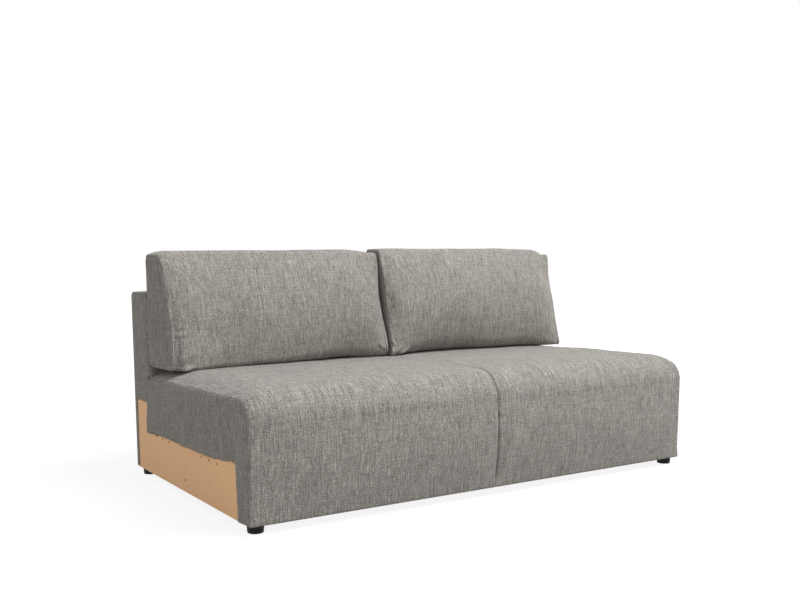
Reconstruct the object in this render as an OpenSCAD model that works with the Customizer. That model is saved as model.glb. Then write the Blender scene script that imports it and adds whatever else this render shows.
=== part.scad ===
// Armless two-seat sofa: boarded base, zigzag spring deck, foam, fitted cover
// and two loose back cushions. X runs across, Y to the rear, Z up.

/* [Overall] */
// Width across the fabric of both ends
sofa_w = 1800; // [1600:10:2100]
// Depth at the floor, front cover to rear cover
sofa_d = 1000; // [940:10:1100]
// Height of the seat under the back cushions
seat_h = 411; // [395:1:440]
// Height of the upholstered back frame
back_h = 670; // [630:5:720]
// Thickness of the upholstered back frame
back_t = 159; // [145:1:180]
// Height of the feet, which is the space under the sofa
foot_h = 25; // [18:1:40]

/* [Cover] */
// Thickness of the woven cover
fabric_t = 1.5; // [1:0.1:2]
// How far the front swells out at the middle of its height
front_crown = 20; // [5:1:28]
// How far the seat top rises in front of the back cushions
seat_crown = 14; // [0:1:22]
// Radius of the rounded front nose
nose_r = 88; // [65:1:100]
// Largest radius of the roll where the seat top turns down at each end
side_roll_r = 47; // [30:1:60]
// Radius of the upright corner at each end of the front
corner_roll_r = 10; // [8:1:13]
// Depth of the groove along the middle seam
seam_groove = 7; // [0:0.5:9]
// Half width of the groove along the middle seam
seam_groove_w = 26; // [15:1:40]
// Cover turned under the base at the front and the rear
turn_under = 20; // [17:1:30]

/* [Bare ends] */
// Height of the cut edge of the end fabric at the rear
cut_edge_z = 171; // [170:1:190]
// How much higher the cut edge lies at the front
cut_edge_rise = 32; // [10:1:45]
// Width of the fabric left behind each front corner, at its top
end_strip_w = 92; // [60:1:120]
// Width of the rear cover that wraps onto each end
rear_flap_w = 31; // [20:1:40]
// Height of the cut edge of the back frame's end fabric
back_cut_z = 282; // [270:1:330]

/* [Connector holes] */
// Diameter of the holes in each end board
hole_d = 8; // [5:0.5:10]
// Spacing of the three holes of a row
hole_pitch = 64; // [32:32:96]
// Spacing of the middles of the two rows
row_pitch = 416; // [320:32:448]
// Height of both rows above the floor
row_z = 171; // [160:1:172]
// Height of the single hole above the floor
single_z = 66; // [50:1:90]
// Distance from the middle of the pattern to the rear cover
hole_setback = 490; // [475:1:505]

/* [Frame] */
// Thickness of the boards
board_t = 18; // [15:1:22]
// Thickness of the hardboard on both faces of the back frame
hardboard_t = 3; // [3:0.5:5]
// Depth of the seat foam, from the felt to the top of the cover
foam_t = 100; // [90:1:110]
// Thickness of the timber spring rails
rail_t = 25; // [20:1:32]
// Height of the timber spring rails
rail_h = 45; // [35:1:60]
// Width of the flat rail under the front of the base
base_rail_w = 70; // [60:1:100]
// Side of the square glue blocks in the base corners
block_w = 45; // [35:1:55]
// Height of the glue blocks
block_h = 60; // [40:1:80]
// Diameter of the wooden dowels
dowel_d = 8; // [6:1:10]
// Length of the wooden dowels
dowel_l = 35; // [30:1:40]

/* [Springs] */
// Zigzag springs under each seat
spring_count = 6; // [4:1:7]
// Thickness of the spring wire
wire_t = 3.6; // [3:0.1:4]
// Length of the straight run between two bends
spring_run = 20; // [14:1:28]
// Largest radius of a spring's bends, at mid wire
bend_r = 18; // [15:0.5:22]
// Thickness of the steel clips that hold the spring ends
clip_t = 1.2; // [0.8:0.1:1.6]
// Thickness of the felt over the springs
felt_t = 3; // [2:0.5:6]

/* [Padding] */
// Thickness of the foam on the front of the base, with its cover
front_pad_t = 15; // [14:1:25]
// Thickness of the wadding on the front of the back frame
back_pad_t = 12; // [8:1:20]
// Thickness of the wadding on top of the back frame
top_pad_t = 12; // [8:1:20]
// Thickness of the wadding on the rear of the back frame
rear_pad_t = 6; // [4:1:12]
// Radius of the back frame's upper edges
back_edge_r = 22; // [14:1:24]

/* [Feet] */
// Diameter of each foot
foot_d = 52; // [44:1:56]
// Distance from a foot's axis to the end of the sofa
foot_end_inset = 35; // [31:1:60]
// Distance from a front foot's axis to the front cover
foot_front_inset = 40; // [36:1:60]
// Distance from a rear foot's axis to the rear cover
foot_rear_inset = 45; // [40:1:70]
// Diameter of the screw through each foot
screw_d = 5; // [4:0.5:6]
// Length of the screw through each foot
screw_l = 50; // [40:1:60]

/* [Back cushions] */
// Height of a cushion at its end seams
cushion_h = 383; // [360:1:410]
// Depth of a cushion at its bottom
cushion_base_d = 195; // [180:1:210]
// Depth of a cushion at its top
cushion_top_d = 100; // [85:1:115]
// How far the cushion's front swells out in the middle
cushion_crown = 36; // [15:1:50]
// How far the cushion's top rises in the middle
cushion_rise = 28; // [15:1:35]
// How far the end panels of a cushion swell out
cushion_end_crown = 7; // [4:1:12]
// How much shorter a cushion's front is than its rear, at the sofa's end
cushion_end_taper = 25; // [10:1:35]
// Space between the two cushions where they come closest
cushion_gap = 4; // [2:1:10]
// Space from a cushion's rear to the plane of the sofa's end
cushion_end_gap = 3; // [2:1:15]
// Radius of the lower front edge in the middle of a cushion
lower_edge_r = 62; // [40:1:70]
// Radius of the lower front edge at a cushion's ends
lower_end_r = 18; // [14:1:40]
// Radius of the upper front edge in the middle of a cushion
upper_edge_r = 44; // [30:1:50]
// Radius of the upper front edge at a cushion's ends
upper_end_r = 24; // [16:1:30]
// Radius of the upper rear edge
rear_top_r = 24; // [16:1:30]
// Radius of the lower rear edge, where the zip runs
zip_edge_r = 30; // [28:1:34]

/* [Zips] */
// Thickness of the zip's tape
tape_t = 1.2; // [0.8:0.1:1.4]
// Diameter of the zip's chain
chain_d = 3.6; // [3:0.1:4]
// Length of the slider
slider_l = 12; // [9:0.5:15]
// Width of the slider
slider_w = 9; // [8:0.5:10]
// Height of the slider above the tape
slider_h = 5; // [4.5:0.1:5.5]
// Length of the pull tab
pull_l = 26; // [18:1:34]
// Width of the pull tab
pull_w = 5; // [4:0.5:7]
// Thickness of the pull tab
pull_t = 1; // [0.8:0.1:1.4]

/* [Hidden] */

fabric_colour = "#8e8983";
board_colour = "#c39a6b";
timber_colour = "#d8bd8c";
foam_colour = "#e9e2c4";
steel_colour = "#8a8d90";
black = "#1d1d1e";

// Clearances, and one overrun for every cut
fit_gap = 0.3;
hole_gap = 0.1;
over = 1;

// Planes that the pieces share
half_w = sofa_w / 2;
front_y = front_crown - (sofa_d + front_crown) / 2;
rear_y = front_y + sofa_d;
back_y = rear_y - back_t;
skin_x = half_w - fabric_t;
inner_x = skin_x - board_t;
base_z = foot_h + fabric_t;
board_front_y = front_y + front_pad_t;
deck_h = seat_h - foam_t;
frame_front_y = back_y + fabric_t + back_pad_t;
frame_rear_y = rear_y - fabric_t - rear_pad_t;
post_front_y = frame_front_y + hardboard_t;
post_rear_y = frame_rear_y - hardboard_t;
frame_top_z = back_h - fabric_t - top_pad_t;
clip_top_z = deck_h - felt_t;
rail_top_z = clip_top_z - clip_t - wire_t - fit_gap;
pattern_y = rear_y - hole_setback;
base_top_z = base_z + board_t;

function lerp(a, b, t) = a + (b - a) * t;
function clamp(t) = min(1, max(0, t));
function smooth(t) = clamp(t) * clamp(t) * (3 - 2 * clamp(t));

// The seat cover's path from under the base, up the front, over the nose and
// back to the rear: each entry is y, z and the angle that the surface faces,
// where 0 faces forward and 90 faces up.
hem_r = 8;
hem_steps = 3;
front_steps = 8;
nose_steps = 7;
top_steps = 8;
front_low_z = foot_h + hem_r;
nose_z = seat_h - nose_r;
nose_y = front_y + nose_r;
seat_path = concat(
  [[front_y + turn_under, foot_h, -90]],
  [for (i = [0 : hem_steps]) let (a = -90 + 90 * i / hem_steps)
    [front_y + hem_r - hem_r * cos(a), foot_h + hem_r + hem_r * sin(a), a]],
  [for (i = [1 : front_steps - 1])
    [front_y, lerp(front_low_z, nose_z, i / front_steps), 0]],
  [for (i = [0 : nose_steps]) let (a = 90 * i / nose_steps)
    [nose_y - nose_r * cos(a), nose_z + nose_r * sin(a), a]],
  [for (i = [1 : top_steps])
    [lerp(nose_y, back_y - fit_gap, i / top_steps), seat_h, 90]]);
path_last = len(seat_path) - 1;

// Swelling of the path, and the roll at the sofa's end, at any point
swell_power = 6;
crown_run = 320;
groove_fade_run = 90;
hem_roll_r = 3;
hem_roll_run = 50;
crown_end_y = back_y - cushion_base_d;
groove_end_y = nose_y + groove_fade_run;

// How the roll widens from the front to the rear, as shares of the seat's depth
// and of the largest radius: tight at the nose, slack in the middle, full at the rear
roll_shares = [[0, 0], [0.01, 0], [0.032, 0.16], [0.074, 0.54], [0.134, 0.73],
  [0.298, 0.89], [0.518, 0.89], [0.75, 0.7], [1, 1]];
function front_swell(x, p) = front_crown * (1 - pow(x / half_w, swell_power))
  * sin(180 * clamp((p[1] - foot_h) / (seat_h - foot_h))) * cos(p[2]);
function top_swell(p) = seat_crown * smooth((crown_end_y - p[0]) / crown_run)
  * max(0, sin(p[2]));
function groove(x, p) = seam_groove * exp(-x / seam_groove_w)
  * smooth((groove_end_y - p[0]) / groove_fade_run)
  * smooth((p[1] - foot_h) / hem_roll_run);
function swell(x, p) = front_swell(x, p) + top_swell(p) - groove(x, p);
function roll_r(p) = lerp(hem_roll_r, lerp(corner_roll_r, side_roll_r,
  lookup((p[0] - front_y) / (back_y - front_y), roll_shares)), smooth((p[1] - foot_h) / hem_roll_run));
function outward(a) = [-cos(a), sin(a)];

// One point of the seat, at a share of the way along the path and a column
// across it; the last columns turn down over the end of the sofa.
flat_x_shares = [0, 0.015, 0.045, 0.1, 0.2, 0.34, 0.5, 0.66, 0.8, 0.91, 1];
flat_last = len(flat_x_shares) - 1;
roll_steps = 4;
column_last = flat_last + roll_steps;
function seat_point(p, j, inset) =
  let (r = roll_r(p), a = 90 * max(0, j - flat_last) / roll_steps,
    x0 = fit_gap / 2,
    x = j <= flat_last
      ? lerp(x0, half_w - r, flat_x_shares[j])
      : half_w - r + (r - inset) * sin(a),
    lift = swell(x, p) - r + (r - inset) * cos(a),
    n = outward(p[2]))
  [x, p[0] + lift * n[0], p[1] + lift * n[1]];
function seat_grid(path, inset) =
  [for (p = path) [for (j = [0 : column_last]) seat_point(p, j, inset)]];

// The line where the roll meets the end fabric
function end_seam(p) = let (lift = swell(half_w, p) - roll_r(p) - fit_gap, n = outward(p[2]))
  [p[0] + lift * n[0], p[1] + lift * n[1]];

// A closed solid between two grids of the same size
module slab(top, under) {
  rows = len(top);
  cols = len(top[0]);
  size = rows * cols;
  last = rows - 1;
  far = cols - 1;
  function t(i, j) = i * cols + j;
  function u(i, j) = size + i * cols + j;
  points = concat([for (row = top) each row], [for (row = under) each row]);
  faces = concat(
    [for (i = [0 : last - 1], j = [0 : far - 1]) each [
      [t(i, j), t(i + 1, j), t(i + 1, j + 1)],
      [t(i, j), t(i + 1, j + 1), t(i, j + 1)],
      [u(i, j), u(i + 1, j + 1), u(i + 1, j)],
      [u(i, j), u(i, j + 1), u(i + 1, j + 1)]]],
    [for (i = [0 : last - 1]) each [
      [t(i + 1, 0), t(i, 0), u(i, 0)],
      [t(i + 1, 0), u(i, 0), u(i + 1, 0)],
      [t(i, far), t(i + 1, far), u(i + 1, far)],
      [t(i, far), u(i + 1, far), u(i, far)]]],
    [for (j = [0 : far - 1]) each [
      [t(0, j), t(0, j + 1), u(0, j + 1)],
      [t(0, j), u(0, j + 1), u(0, j)],
      [t(last, j + 1), t(last, j), u(last, j)],
      [t(last, j + 1), u(last, j), u(last, j + 1)]]]);
  polyhedron(points = points, faces = faces);
}

// The left half of the sofa is the mirror of the right half
module left_half() mirror([1, 0, 0]) children();

// Frame

module board_outline() polygon([
  [board_front_y, base_z],
  [post_rear_y, base_z],
  [post_rear_y, frame_top_z],
  [post_front_y, frame_top_z],
  [post_front_y, deck_h],
  [board_front_y, deck_h]]);

// A profile drawn in Y and Z, given its thickness towards the sofa's middle
module from_end(x, t) translate([x - t, 0, 0]) rotate([90, 0, 90]) linear_extrude(t) children();

module connector_holes() {
  for (row = [-1, 1], k = [-1 : 1])
    translate([inner_x - over, pattern_y + row * row_pitch / 2 + k * hole_pitch, row_z])
      rotate([0, 90, 0]) cylinder(h = board_t + 2 * over, d = hole_d, $fn = 48);
  translate([inner_x - over, pattern_y, single_z])
    rotate([0, 90, 0]) cylinder(h = board_t + 2 * over, d = hole_d, $fn = 48);
}

// Places of the dowels, as y and z, in each piece that meets an end board
dowel_inset = 30;
rear_dowel_inset = 15;
front_board_y = board_front_y + board_t / 2;
front_rail_y = board_front_y + board_t + rail_t / 2;
rear_rail_y = back_y - rail_t;
post_mid_y = (post_front_y + post_rear_y) / 2;
top_rail_z = frame_top_z - board_t / 2;
base_rail_z = base_z + board_t / 2;
rail_z = rail_top_z - rail_h / 2;
base_rail_y = board_front_y + board_t + base_rail_w / 2;
dowel_places = concat(
  [for (z = [base_z + dowel_inset, (base_z + deck_h) / 2, rail_top_z - dowel_inset])
    [front_board_y, z]],
  [[front_rail_y, rail_z], [rear_rail_y, rail_z], [base_rail_y, base_rail_z]],
  [for (y = [post_front_y + dowel_inset, post_rear_y - rear_dowel_inset],
    z = [base_rail_z, top_rail_z]) [y, z]]);
dowel_in_end = dowel_l / 3;

module dowel_set(extra, ends) {
  for (p = dowel_places)
    translate([inner_x + dowel_in_end - dowel_l - ends, p[0], p[1]])
      rotate([0, 90, 0]) cylinder(h = dowel_l + 2 * ends, d = dowel_d + extra, $fn = 32);
}

module dowel_holes() {
  dowel_set(2 * hole_gap, fit_gap);
  left_half() dowel_set(2 * hole_gap, fit_gap);
}

module dowels() color(timber_colour) {
  dowel_set(0, 0);
  left_half() dowel_set(0, 0);
}

module end_board() difference() {
  from_end(skin_x, board_t) board_outline();
  connector_holes();
  dowel_set(2 * hole_gap, fit_gap);
}

module side_board_right() color(board_colour) end_board();
module side_board_left() color(board_colour) left_half() end_board();

// A board or rail between the end boards
module cross_piece(y, z, d, h) difference() {
  translate([-inner_x, y, z]) cube([2 * inner_x, d, h]);
  dowel_holes();
}

// Axes of the feet, and the screws up through them
foot_x = half_w - foot_end_inset;
foot_places = [
  [-foot_x, front_y + foot_front_inset], [foot_x, front_y + foot_front_inset],
  [-foot_x, rear_y - foot_rear_inset], [foot_x, rear_y - foot_rear_inset]];
head_d = 10;
head_h = 3;
head_depth = 8;
screw_top_z = head_depth + screw_l;

module foot_screw() rotate_extrude($fn = 32) polygon([
  [0, head_depth], [head_d / 2, head_depth], [screw_d / 2, head_depth + head_h],
  [screw_d / 2, screw_top_z - screw_d], [0, screw_top_z]]);

module foot_screws() color(steel_colour)
  for (p = foot_places) translate([p[0], p[1], 0]) foot_screw();

module screw_holes()
  for (p = foot_places) translate([p[0], p[1], 0])
    cylinder(h = screw_top_z + fit_gap, d = screw_d + 2 * hole_gap, $fn = 32);

module front_board() color(board_colour)
  cross_piece(board_front_y, base_z, board_t, rail_top_z - base_z);

module base_front_rail() color(timber_colour) difference() {
  cross_piece(board_front_y + board_t, base_z, base_rail_w, board_t);
  screw_holes();
}

module base_rear_rail() color(timber_colour) difference() {
  cross_piece(post_front_y, base_z, post_rear_y - post_front_y, board_t);
  screw_holes();
}

module front_spring_rail() color(timber_colour)
  cross_piece(board_front_y + board_t, rail_top_z - rail_h, rail_t, rail_h);

module rear_spring_rail() color(timber_colour)
  cross_piece(rear_rail_y - rail_t / 2, rail_top_z - rail_h, rail_t, rail_h);

module back_top_rail() color(board_colour)
  cross_piece(post_front_y, frame_top_z - board_t, post_rear_y - post_front_y, board_t);

// The divider stands between the front board and the rear hardboard, notched
// for the spring rails and the base rails
module centre_divider() color(board_colour) {
  y0 = board_front_y + board_t;
  y1 = post_front_y;
  difference() {
    translate([-board_t / 2, y0, base_z]) cube([board_t, y1 - y0, clip_top_z - base_z]);
    translate([-board_t, y0 - over, base_z - over])
      cube([2 * board_t, base_rail_w + over, board_t + over]);
    translate([-board_t, y0 - over, rail_top_z - rail_h])
      cube([2 * board_t, rail_t + over, clip_top_z]);
    translate([-board_t, rear_rail_y - rail_t / 2, rail_top_z - rail_h])
      cube([2 * board_t, rail_t, clip_top_z]);
  }
}

// Each pair of glue blocks stands on a base rail, against the end boards
front_block_y = board_front_y + board_t;
rear_block_y = post_rear_y - block_w;
module corner_blocks() color(timber_colour) difference() {
  for (side = [-1, 1], y = [front_block_y, rear_block_y])
    translate([side * (inner_x - block_w / 2) - block_w / 2, y, base_top_z])
      cube([block_w, block_w, block_h]);
  screw_holes();
}

upright_x_shares = [-0.5, 0, 0.5];
module back_uprights() color(board_colour)
  for (share = upright_x_shares)
    translate([share * sofa_w / 2 - board_t / 2, post_front_y, base_top_z])
      cube([board_t, post_rear_y - post_front_y, frame_top_z - board_t - base_top_z]);

module back_front_hardboard() color(board_colour)
  translate([-skin_x, frame_front_y, deck_h])
    cube([2 * skin_x, hardboard_t, frame_top_z - deck_h]);

module back_rear_hardboard() color(board_colour)
  translate([-skin_x, post_rear_y, base_z])
    cube([2 * skin_x, hardboard_t, frame_top_z - base_z]);

// Spring deck

spring_front_y = front_rail_y;
spring_span = rear_rail_y - spring_front_y;
bend_count = ceil(spring_span / (2 * bend_r));
bend_mid_r = spring_span / (2 * bend_count);
bend_steps = 4;
seat_clear_w = inner_x - board_t / 2;
spring_pitch = seat_clear_w / spring_count;
spring_z = rail_top_z + fit_gap / 2;

// Outline of the wire, up one side of its winding middle line and down the other
function wire_side(off) = concat(
  [[-spring_run / 2, -off]],
  [for (i = [0 : bend_count - 1], k = [0 : bend_steps])
    let (s = i % 2 == 0 ? 1 : -1, a = -90 + 180 * k / bend_steps, r = bend_mid_r + s * off)
      [s * (spring_run / 2 + r * cos(a)), (2 * i + 1) * bend_mid_r + r * sin(a)]],
  [[(bend_count % 2 == 0 ? 1 : -1) * spring_run / 2,
    spring_span + (bend_count % 2 == 0 ? -off : off)]]);
function backwards(list) = [for (i = [len(list) - 1 : -1 : 0]) list[i]];

module zigzag_spring() linear_extrude(wire_t)
  polygon(concat(wire_side(wire_t / 2), backwards(wire_side(-wire_t / 2))));

module seat_springs() for (k = [0 : spring_count - 1])
  translate([board_t / 2 + (k + 0.5) * spring_pitch, spring_front_y, spring_z])
    zigzag_spring();

module seat_springs_right() color(steel_colour) seat_springs();
module seat_springs_left() color(steel_colour) left_half() seat_springs();

// Each clip is a steel strap folded over the last run of a spring
clip_w = 12;
clip_d = 16;
module spring_clip() difference() {
  translate([-clip_w / 2, -clip_d / 2, 0]) cube([clip_w, clip_d, clip_top_z - rail_top_z]);
  translate([-clip_w, -wire_t / 2 - fit_gap, -over])
    cube([2 * clip_w, wire_t + 2 * fit_gap, over + wire_t + fit_gap]);
}

module spring_clips() color(steel_colour)
  for (side = [-1, 1], k = [0 : spring_count - 1], y = [spring_front_y, rear_rail_y])
    translate([side * (board_t / 2 + (k + 0.5) * spring_pitch), y, rail_top_z]) spring_clip();

// Tie wires run under the springs and are hooked to them
tie_d = 2.4;
tie_y_shares = [0.33, 0.67];
module spring_tie_wires() color(steel_colour)
  for (side = [-1, 1], share = tie_y_shares)
    translate([side * (board_t + inner_x) / 2, spring_front_y + share * spring_span,
      spring_z - tie_d / 2])
      rotate([0, 90, 0])
        cylinder(h = inner_x - 1.5 * board_t, d = tie_d, center = true, $fn = 24);

module spring_felt() color("#6f6a60")
  translate([-inner_x + fit_gap, board_front_y + board_t, clip_top_z])
    cube([2 * (inner_x - fit_gap), back_y - fit_gap - board_front_y - board_t, felt_t]);

// Foam and wadding

foam_inset = fabric_t + fit_gap;
foam_path = [for (p = seat_path) if (p[1] > deck_h + hem_r) p];
pad_path = concat([for (p = seat_path) if (p[2] == 0 && p[1] < deck_h - hem_r) p],
  [[front_y, deck_h, 0]]);
function drop_to_deck(grid) = [for (row = grid) [for (q = row) [q[0], q[1], deck_h]]];
function press_to_board(grid) = [for (row = grid) [for (q = row) [q[0], board_front_y, q[2]]]];

module seat_foam() {
  grid = seat_grid(foam_path, foam_inset);
  slab(grid, drop_to_deck(grid));
}

module front_pad() {
  grid = seat_grid(pad_path, foam_inset);
  slab(grid, press_to_board(grid));
}

module seat_foam_right() color(foam_colour) seat_foam();
module seat_foam_left() color(foam_colour) left_half() seat_foam();
module front_pad_right() color(foam_colour) front_pad();
module front_pad_left() color(foam_colour) left_half() front_pad();

// Outline of the back frame with its upper edges rounded, inset evenly
module back_outline(inset_front, inset_rear, inset_top, low) {
  y0 = back_y + inset_front;
  y1 = rear_y - inset_rear;
  z1 = back_h - inset_top;
  r = max(fabric_t, back_edge_r - inset_top);
  translate([y0, low]) square([y1 - y0, z1 - r - low]);
  translate([y0 + r, low]) square([y1 - y0 - 2 * r, z1 - low]);
  for (y = [y0 + r, y1 - r]) translate([y, z1 - r]) circle(r = r, $fn = 48);
}

// Wadding wraps the front, top and rear of the back frame
module back_wadding() color(foam_colour) difference() {
  from_end(skin_x, 2 * skin_x) back_outline(fabric_t, fabric_t, fabric_t, base_z);
  translate([-skin_x - over, frame_front_y, -over])
    cube([2 * (skin_x + over), frame_rear_y - frame_front_y, frame_top_z + over]);
  translate([-skin_x - over, back_y - over, -over])
    cube([2 * (skin_x + over), back_pad_t + fabric_t + over, deck_h + over]);
}

// Cover

module seat_cover() slab(seat_grid(seat_path, 0), seat_grid(seat_path, fabric_t));
module seat_cover_right() color(fabric_colour) seat_cover();
module seat_cover_left() color(fabric_colour) left_half() seat_cover();

// The cut edge of the end fabric, as shares of its run from rear to front and
// of its rise
cut_edge_shares = [[0, 0], [0.06, 0.12], [0.16, 0.27], [0.22, 0.37], [0.31, 0.39],
  [0.45, 0.32], [0.54, 0.38], [0.65, 0.41], [0.75, 0.46], [0.89, 0.75], [0.965, 1], [0.995, 0.85]];
rear_lean = 35;
strip_lean = 10;
strip_drop = 16;
rear_cut_y = back_y + rear_lean;
strip_y = front_y + end_strip_w;
rear_seam = end_seam(seat_path[path_last]);
end_outline = concat(
  [[strip_y - strip_lean, foot_h]],
  [for (p = seat_path) end_seam(p)],
  [for (s = cut_edge_shares)
    [lerp(rear_cut_y, strip_y, s[0]), cut_edge_z + cut_edge_rise * s[1]]],
  [[strip_y, cut_edge_z + cut_edge_rise - strip_drop]]);

module end_fabric() from_end(half_w, fabric_t) polygon(end_outline);
module end_fabric_right() color(fabric_colour) end_fabric();
module end_fabric_left() color(fabric_colour) left_half() end_fabric();

// The back cover: up the front of the back frame from behind the seat, over
// the top, down the rear and under the base, with a flap onto each end
tuck = 40;
module back_cover() color(fabric_colour) {
  difference() {
    from_end(skin_x, 2 * skin_x) back_outline(0, 0, 0, foot_h);
    from_end(skin_x + over, 2 * (skin_x + over))
      back_outline(fabric_t, fabric_t, fabric_t, base_z);
    translate([-half_w, back_y - over, 0])
      cube([sofa_w, back_pad_t, seat_h - tuck]);
    translate([-half_w, back_y - over, 0])
      cube([sofa_w, back_t + over - turn_under, base_z]);
  }
  for (side = [-1, 1])
    translate([side * (half_w - fabric_t / 2) - fabric_t / 2, rear_y - rear_flap_w, foot_h])
      cube([fabric_t, rear_flap_w, back_cut_z - foot_h]);
}

// Fabric on each end of the back frame, down to its cut edge
module back_end_fabric() from_end(half_w, fabric_t) {
  difference() {
    back_outline(0, 0, 0, back_cut_z + fit_gap);
    polygon([
      [back_y - over, rear_seam[1]],
      [back_y, rear_seam[1]],
      [lerp(back_y, rear_cut_y, (rear_seam[1] - back_cut_z) / (rear_seam[1] - cut_edge_z)) + fit_gap,
        back_cut_z],
      [back_y - over, back_cut_z]]);
  }
}

module back_end_fabric_right() color(fabric_colour) back_end_fabric();
module back_end_fabric_left() color(fabric_colour) left_half() back_end_fabric();

dust_cover_inset = 6;
module dust_cover() color("#2b2b2c") difference() {
  translate([dust_cover_inset - skin_x, front_y + turn_under + fit_gap, foot_h])
    cube([2 * (skin_x - dust_cover_inset), sofa_d - 2 * (turn_under + fit_gap), fabric_t]);
  screw_holes();
}

// Feet

foot_taper = 1.5;
foot_edge_r = 3;
foot_edge_steps = 4;
module foot_body() difference() {
  rotate_extrude($fn = 64) polygon(concat(
    [[0, 0]],
    [for (i = [0 : foot_edge_steps]) let (a = -90 + 90 * i / foot_edge_steps)
      [foot_d / 2 - foot_taper - foot_edge_r + foot_edge_r * cos(a),
        foot_edge_r + foot_edge_r * sin(a)]],
    [[foot_d / 2, foot_h], [0, foot_h]]));
  translate([0, 0, -over])
    cylinder(h = head_depth + over, d = head_d + 2 * fit_gap, $fn = 32);
  translate([0, 0, head_depth])
    cylinder(h = head_h, d1 = head_d + 2 * hole_gap, d2 = screw_d + 2 * hole_gap, $fn = 32);
  cylinder(h = foot_h + over, d = screw_d + 2 * hole_gap, $fn = 32);
}

module foot_at(k) color(black)
  translate([foot_places[k][0], foot_places[k][1], 0]) foot_body();
module foot_front_left() foot_at(0);
module foot_front_right() foot_at(1);
module foot_rear_left() foot_at(2);
module foot_rear_right() foot_at(3);

// Back cushions

cushion_rear_y = back_y - fit_gap;
cushion_low_z = seat_h + fit_gap;
seam_near_x = cushion_gap / 2 + cushion_end_crown;
function seam_far_x(y) = half_w - cushion_end_gap
  - cushion_end_taper * clamp((cushion_rear_y - y) / cushion_base_d);
cushion_lean = atan((cushion_base_d - cushion_top_d) / cushion_h);
front_a = 180 - cushion_lean;
low_steps = 4;
front_bulge_steps = 8;
function ray(a) = [cos(a), sin(a)];

// Middle of the arc that rounds a corner between faces that look along a1 and a2
function arc_middle(corner, a1, a2, r) = let (n = ray(a1) + ray(a2))
  corner - r * n / (1 + ray(a1) * ray(a2));
function arc(middle, r, a1, a2, steps) =
  [for (i = [0 : steps]) middle + r * ray(lerp(a1, a2, i / steps))];
function between(p, q, steps) = [for (i = [1 : steps - 1]) lerp(p, q, i / steps)];

// One ring of the cushion in Y and Z, starting and ending at the zip, at a share
// of the way from the near end seam to the far one. The front fills out slowly
// from the seams and the top quickly.
bulge_power = 1.4;
fullness_power = 3.5;
rise_power = 8;
function inward(share, power) = 1 - pow(abs(2 * share - 1), power);
function cushion_ring(share, inset) =
  let (
    fullness = inward(share, fullness_power),
    top_z = cushion_low_z + cushion_h + cushion_rise * inward(share, rise_power),
    low_r = lerp(lower_end_r, lower_edge_r, fullness),
    top_r = lerp(upper_end_r, upper_edge_r, fullness),
    c_zip = arc_middle([cushion_rear_y, cushion_low_z], 0, 270, zip_edge_r),
    c_rear = arc_middle([cushion_rear_y, top_z], 0, 90, rear_top_r),
    c_top = arc_middle([cushion_rear_y - cushion_top_d, top_z], 90, front_a, top_r),
    c_low = arc_middle([cushion_rear_y - cushion_base_d, cushion_low_z], front_a, 270, low_r),
    rear_arc = arc(c_rear, rear_top_r - inset, 0, 90, 3),
    top_arc = arc(c_top, top_r - inset, 90, front_a, 4),
    low_arc = arc(c_low, low_r - inset, front_a, 270, low_steps),
    zip_upper = arc(c_zip, zip_edge_r - inset, 330, 360, 1),
    zip_lower = arc(c_zip, zip_edge_r - inset, 270, 300, 1))
  concat(zip_upper,
    between(zip_upper[1], rear_arc[0], 4), rear_arc,
    between(rear_arc[3], top_arc[0], 3), top_arc,
    [for (i = [1 : front_bulge_steps - 1]) let (t = i / front_bulge_steps)
      lerp(top_arc[4], low_arc[0], t)
        + cushion_crown * fullness * pow(sin(180 * t), bulge_power) * ray(front_a)],
    low_arc,
    between(low_arc[low_steps], zip_lower[0], 3),
    zip_lower);

station_shares = [0, 0.03, 0.09, 0.2, 0.35, 0.5, 0.65, 0.8, 0.91, 0.97, 1];
station_last = len(station_shares) - 1;
cap_ring_share = 0.5;
cap_rise_share = 0.8;
function middle_of(ring) = [for (k = [0, 1]) (min([for (q = ring) q[k]]) + max([for (q = ring) q[k]])) / 2];
function across(share, q, inset) =
  [lerp(seam_near_x + inset, seam_far_x(q[0]) - inset, share), q[0], q[1]];
function cushion_points(inset) =
  let (
    end_ring = cushion_ring(0, inset),
    c = middle_of(end_ring),
    cap_ring = [for (q = end_ring) lerp(q, c, cap_ring_share)],
    middle_out = [cushion_end_crown, 0, 0],
    ring_out = cap_rise_share * middle_out)
  concat(
    [across(0, c, inset) - middle_out],
    [for (q = cap_ring) across(0, q, inset) - ring_out],
    [for (share = station_shares) each [for (q = cushion_ring(share, inset)) across(share, q, inset)]],
    [for (q = cap_ring) across(1, q, inset) + ring_out],
    [across(1, c, inset) + middle_out]);

ring_size = len(cushion_ring(0, 0));
ring_total = station_last + 3;
zip_first = 3;
zip_last = ring_total - 4;
surface_size = ring_total * ring_size + 2;
function at(k, j) = 1 + k * ring_size + j % ring_size;
function in_slit(k, j) = j == ring_size - 1 && k >= zip_first && k < zip_last;
function surface_faces(with_slit) = concat(
  [for (j = [0 : ring_size - 1]) each [
    [0, at(0, j), at(0, j + 1)],
    [surface_size - 1, at(ring_total - 1, j + 1), at(ring_total - 1, j)]]],
  [for (k = [0 : ring_total - 2], j = [0 : ring_size - 1]) if (!(with_slit && in_slit(k, j)))
    each [
      [at(k, j), at(k + 1, j), at(k + 1, j + 1)],
      [at(k, j), at(k + 1, j + 1), at(k, j + 1)]]]);
function flipped(faces) = [for (f = faces) [f[0] + surface_size, f[2] + surface_size, f[1] + surface_size]];
function under(i) = i + surface_size;
function wall(a, b) = [[a, b, under(b)], [a, under(b), under(a)]];
slit_low = ring_size - 1;
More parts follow.
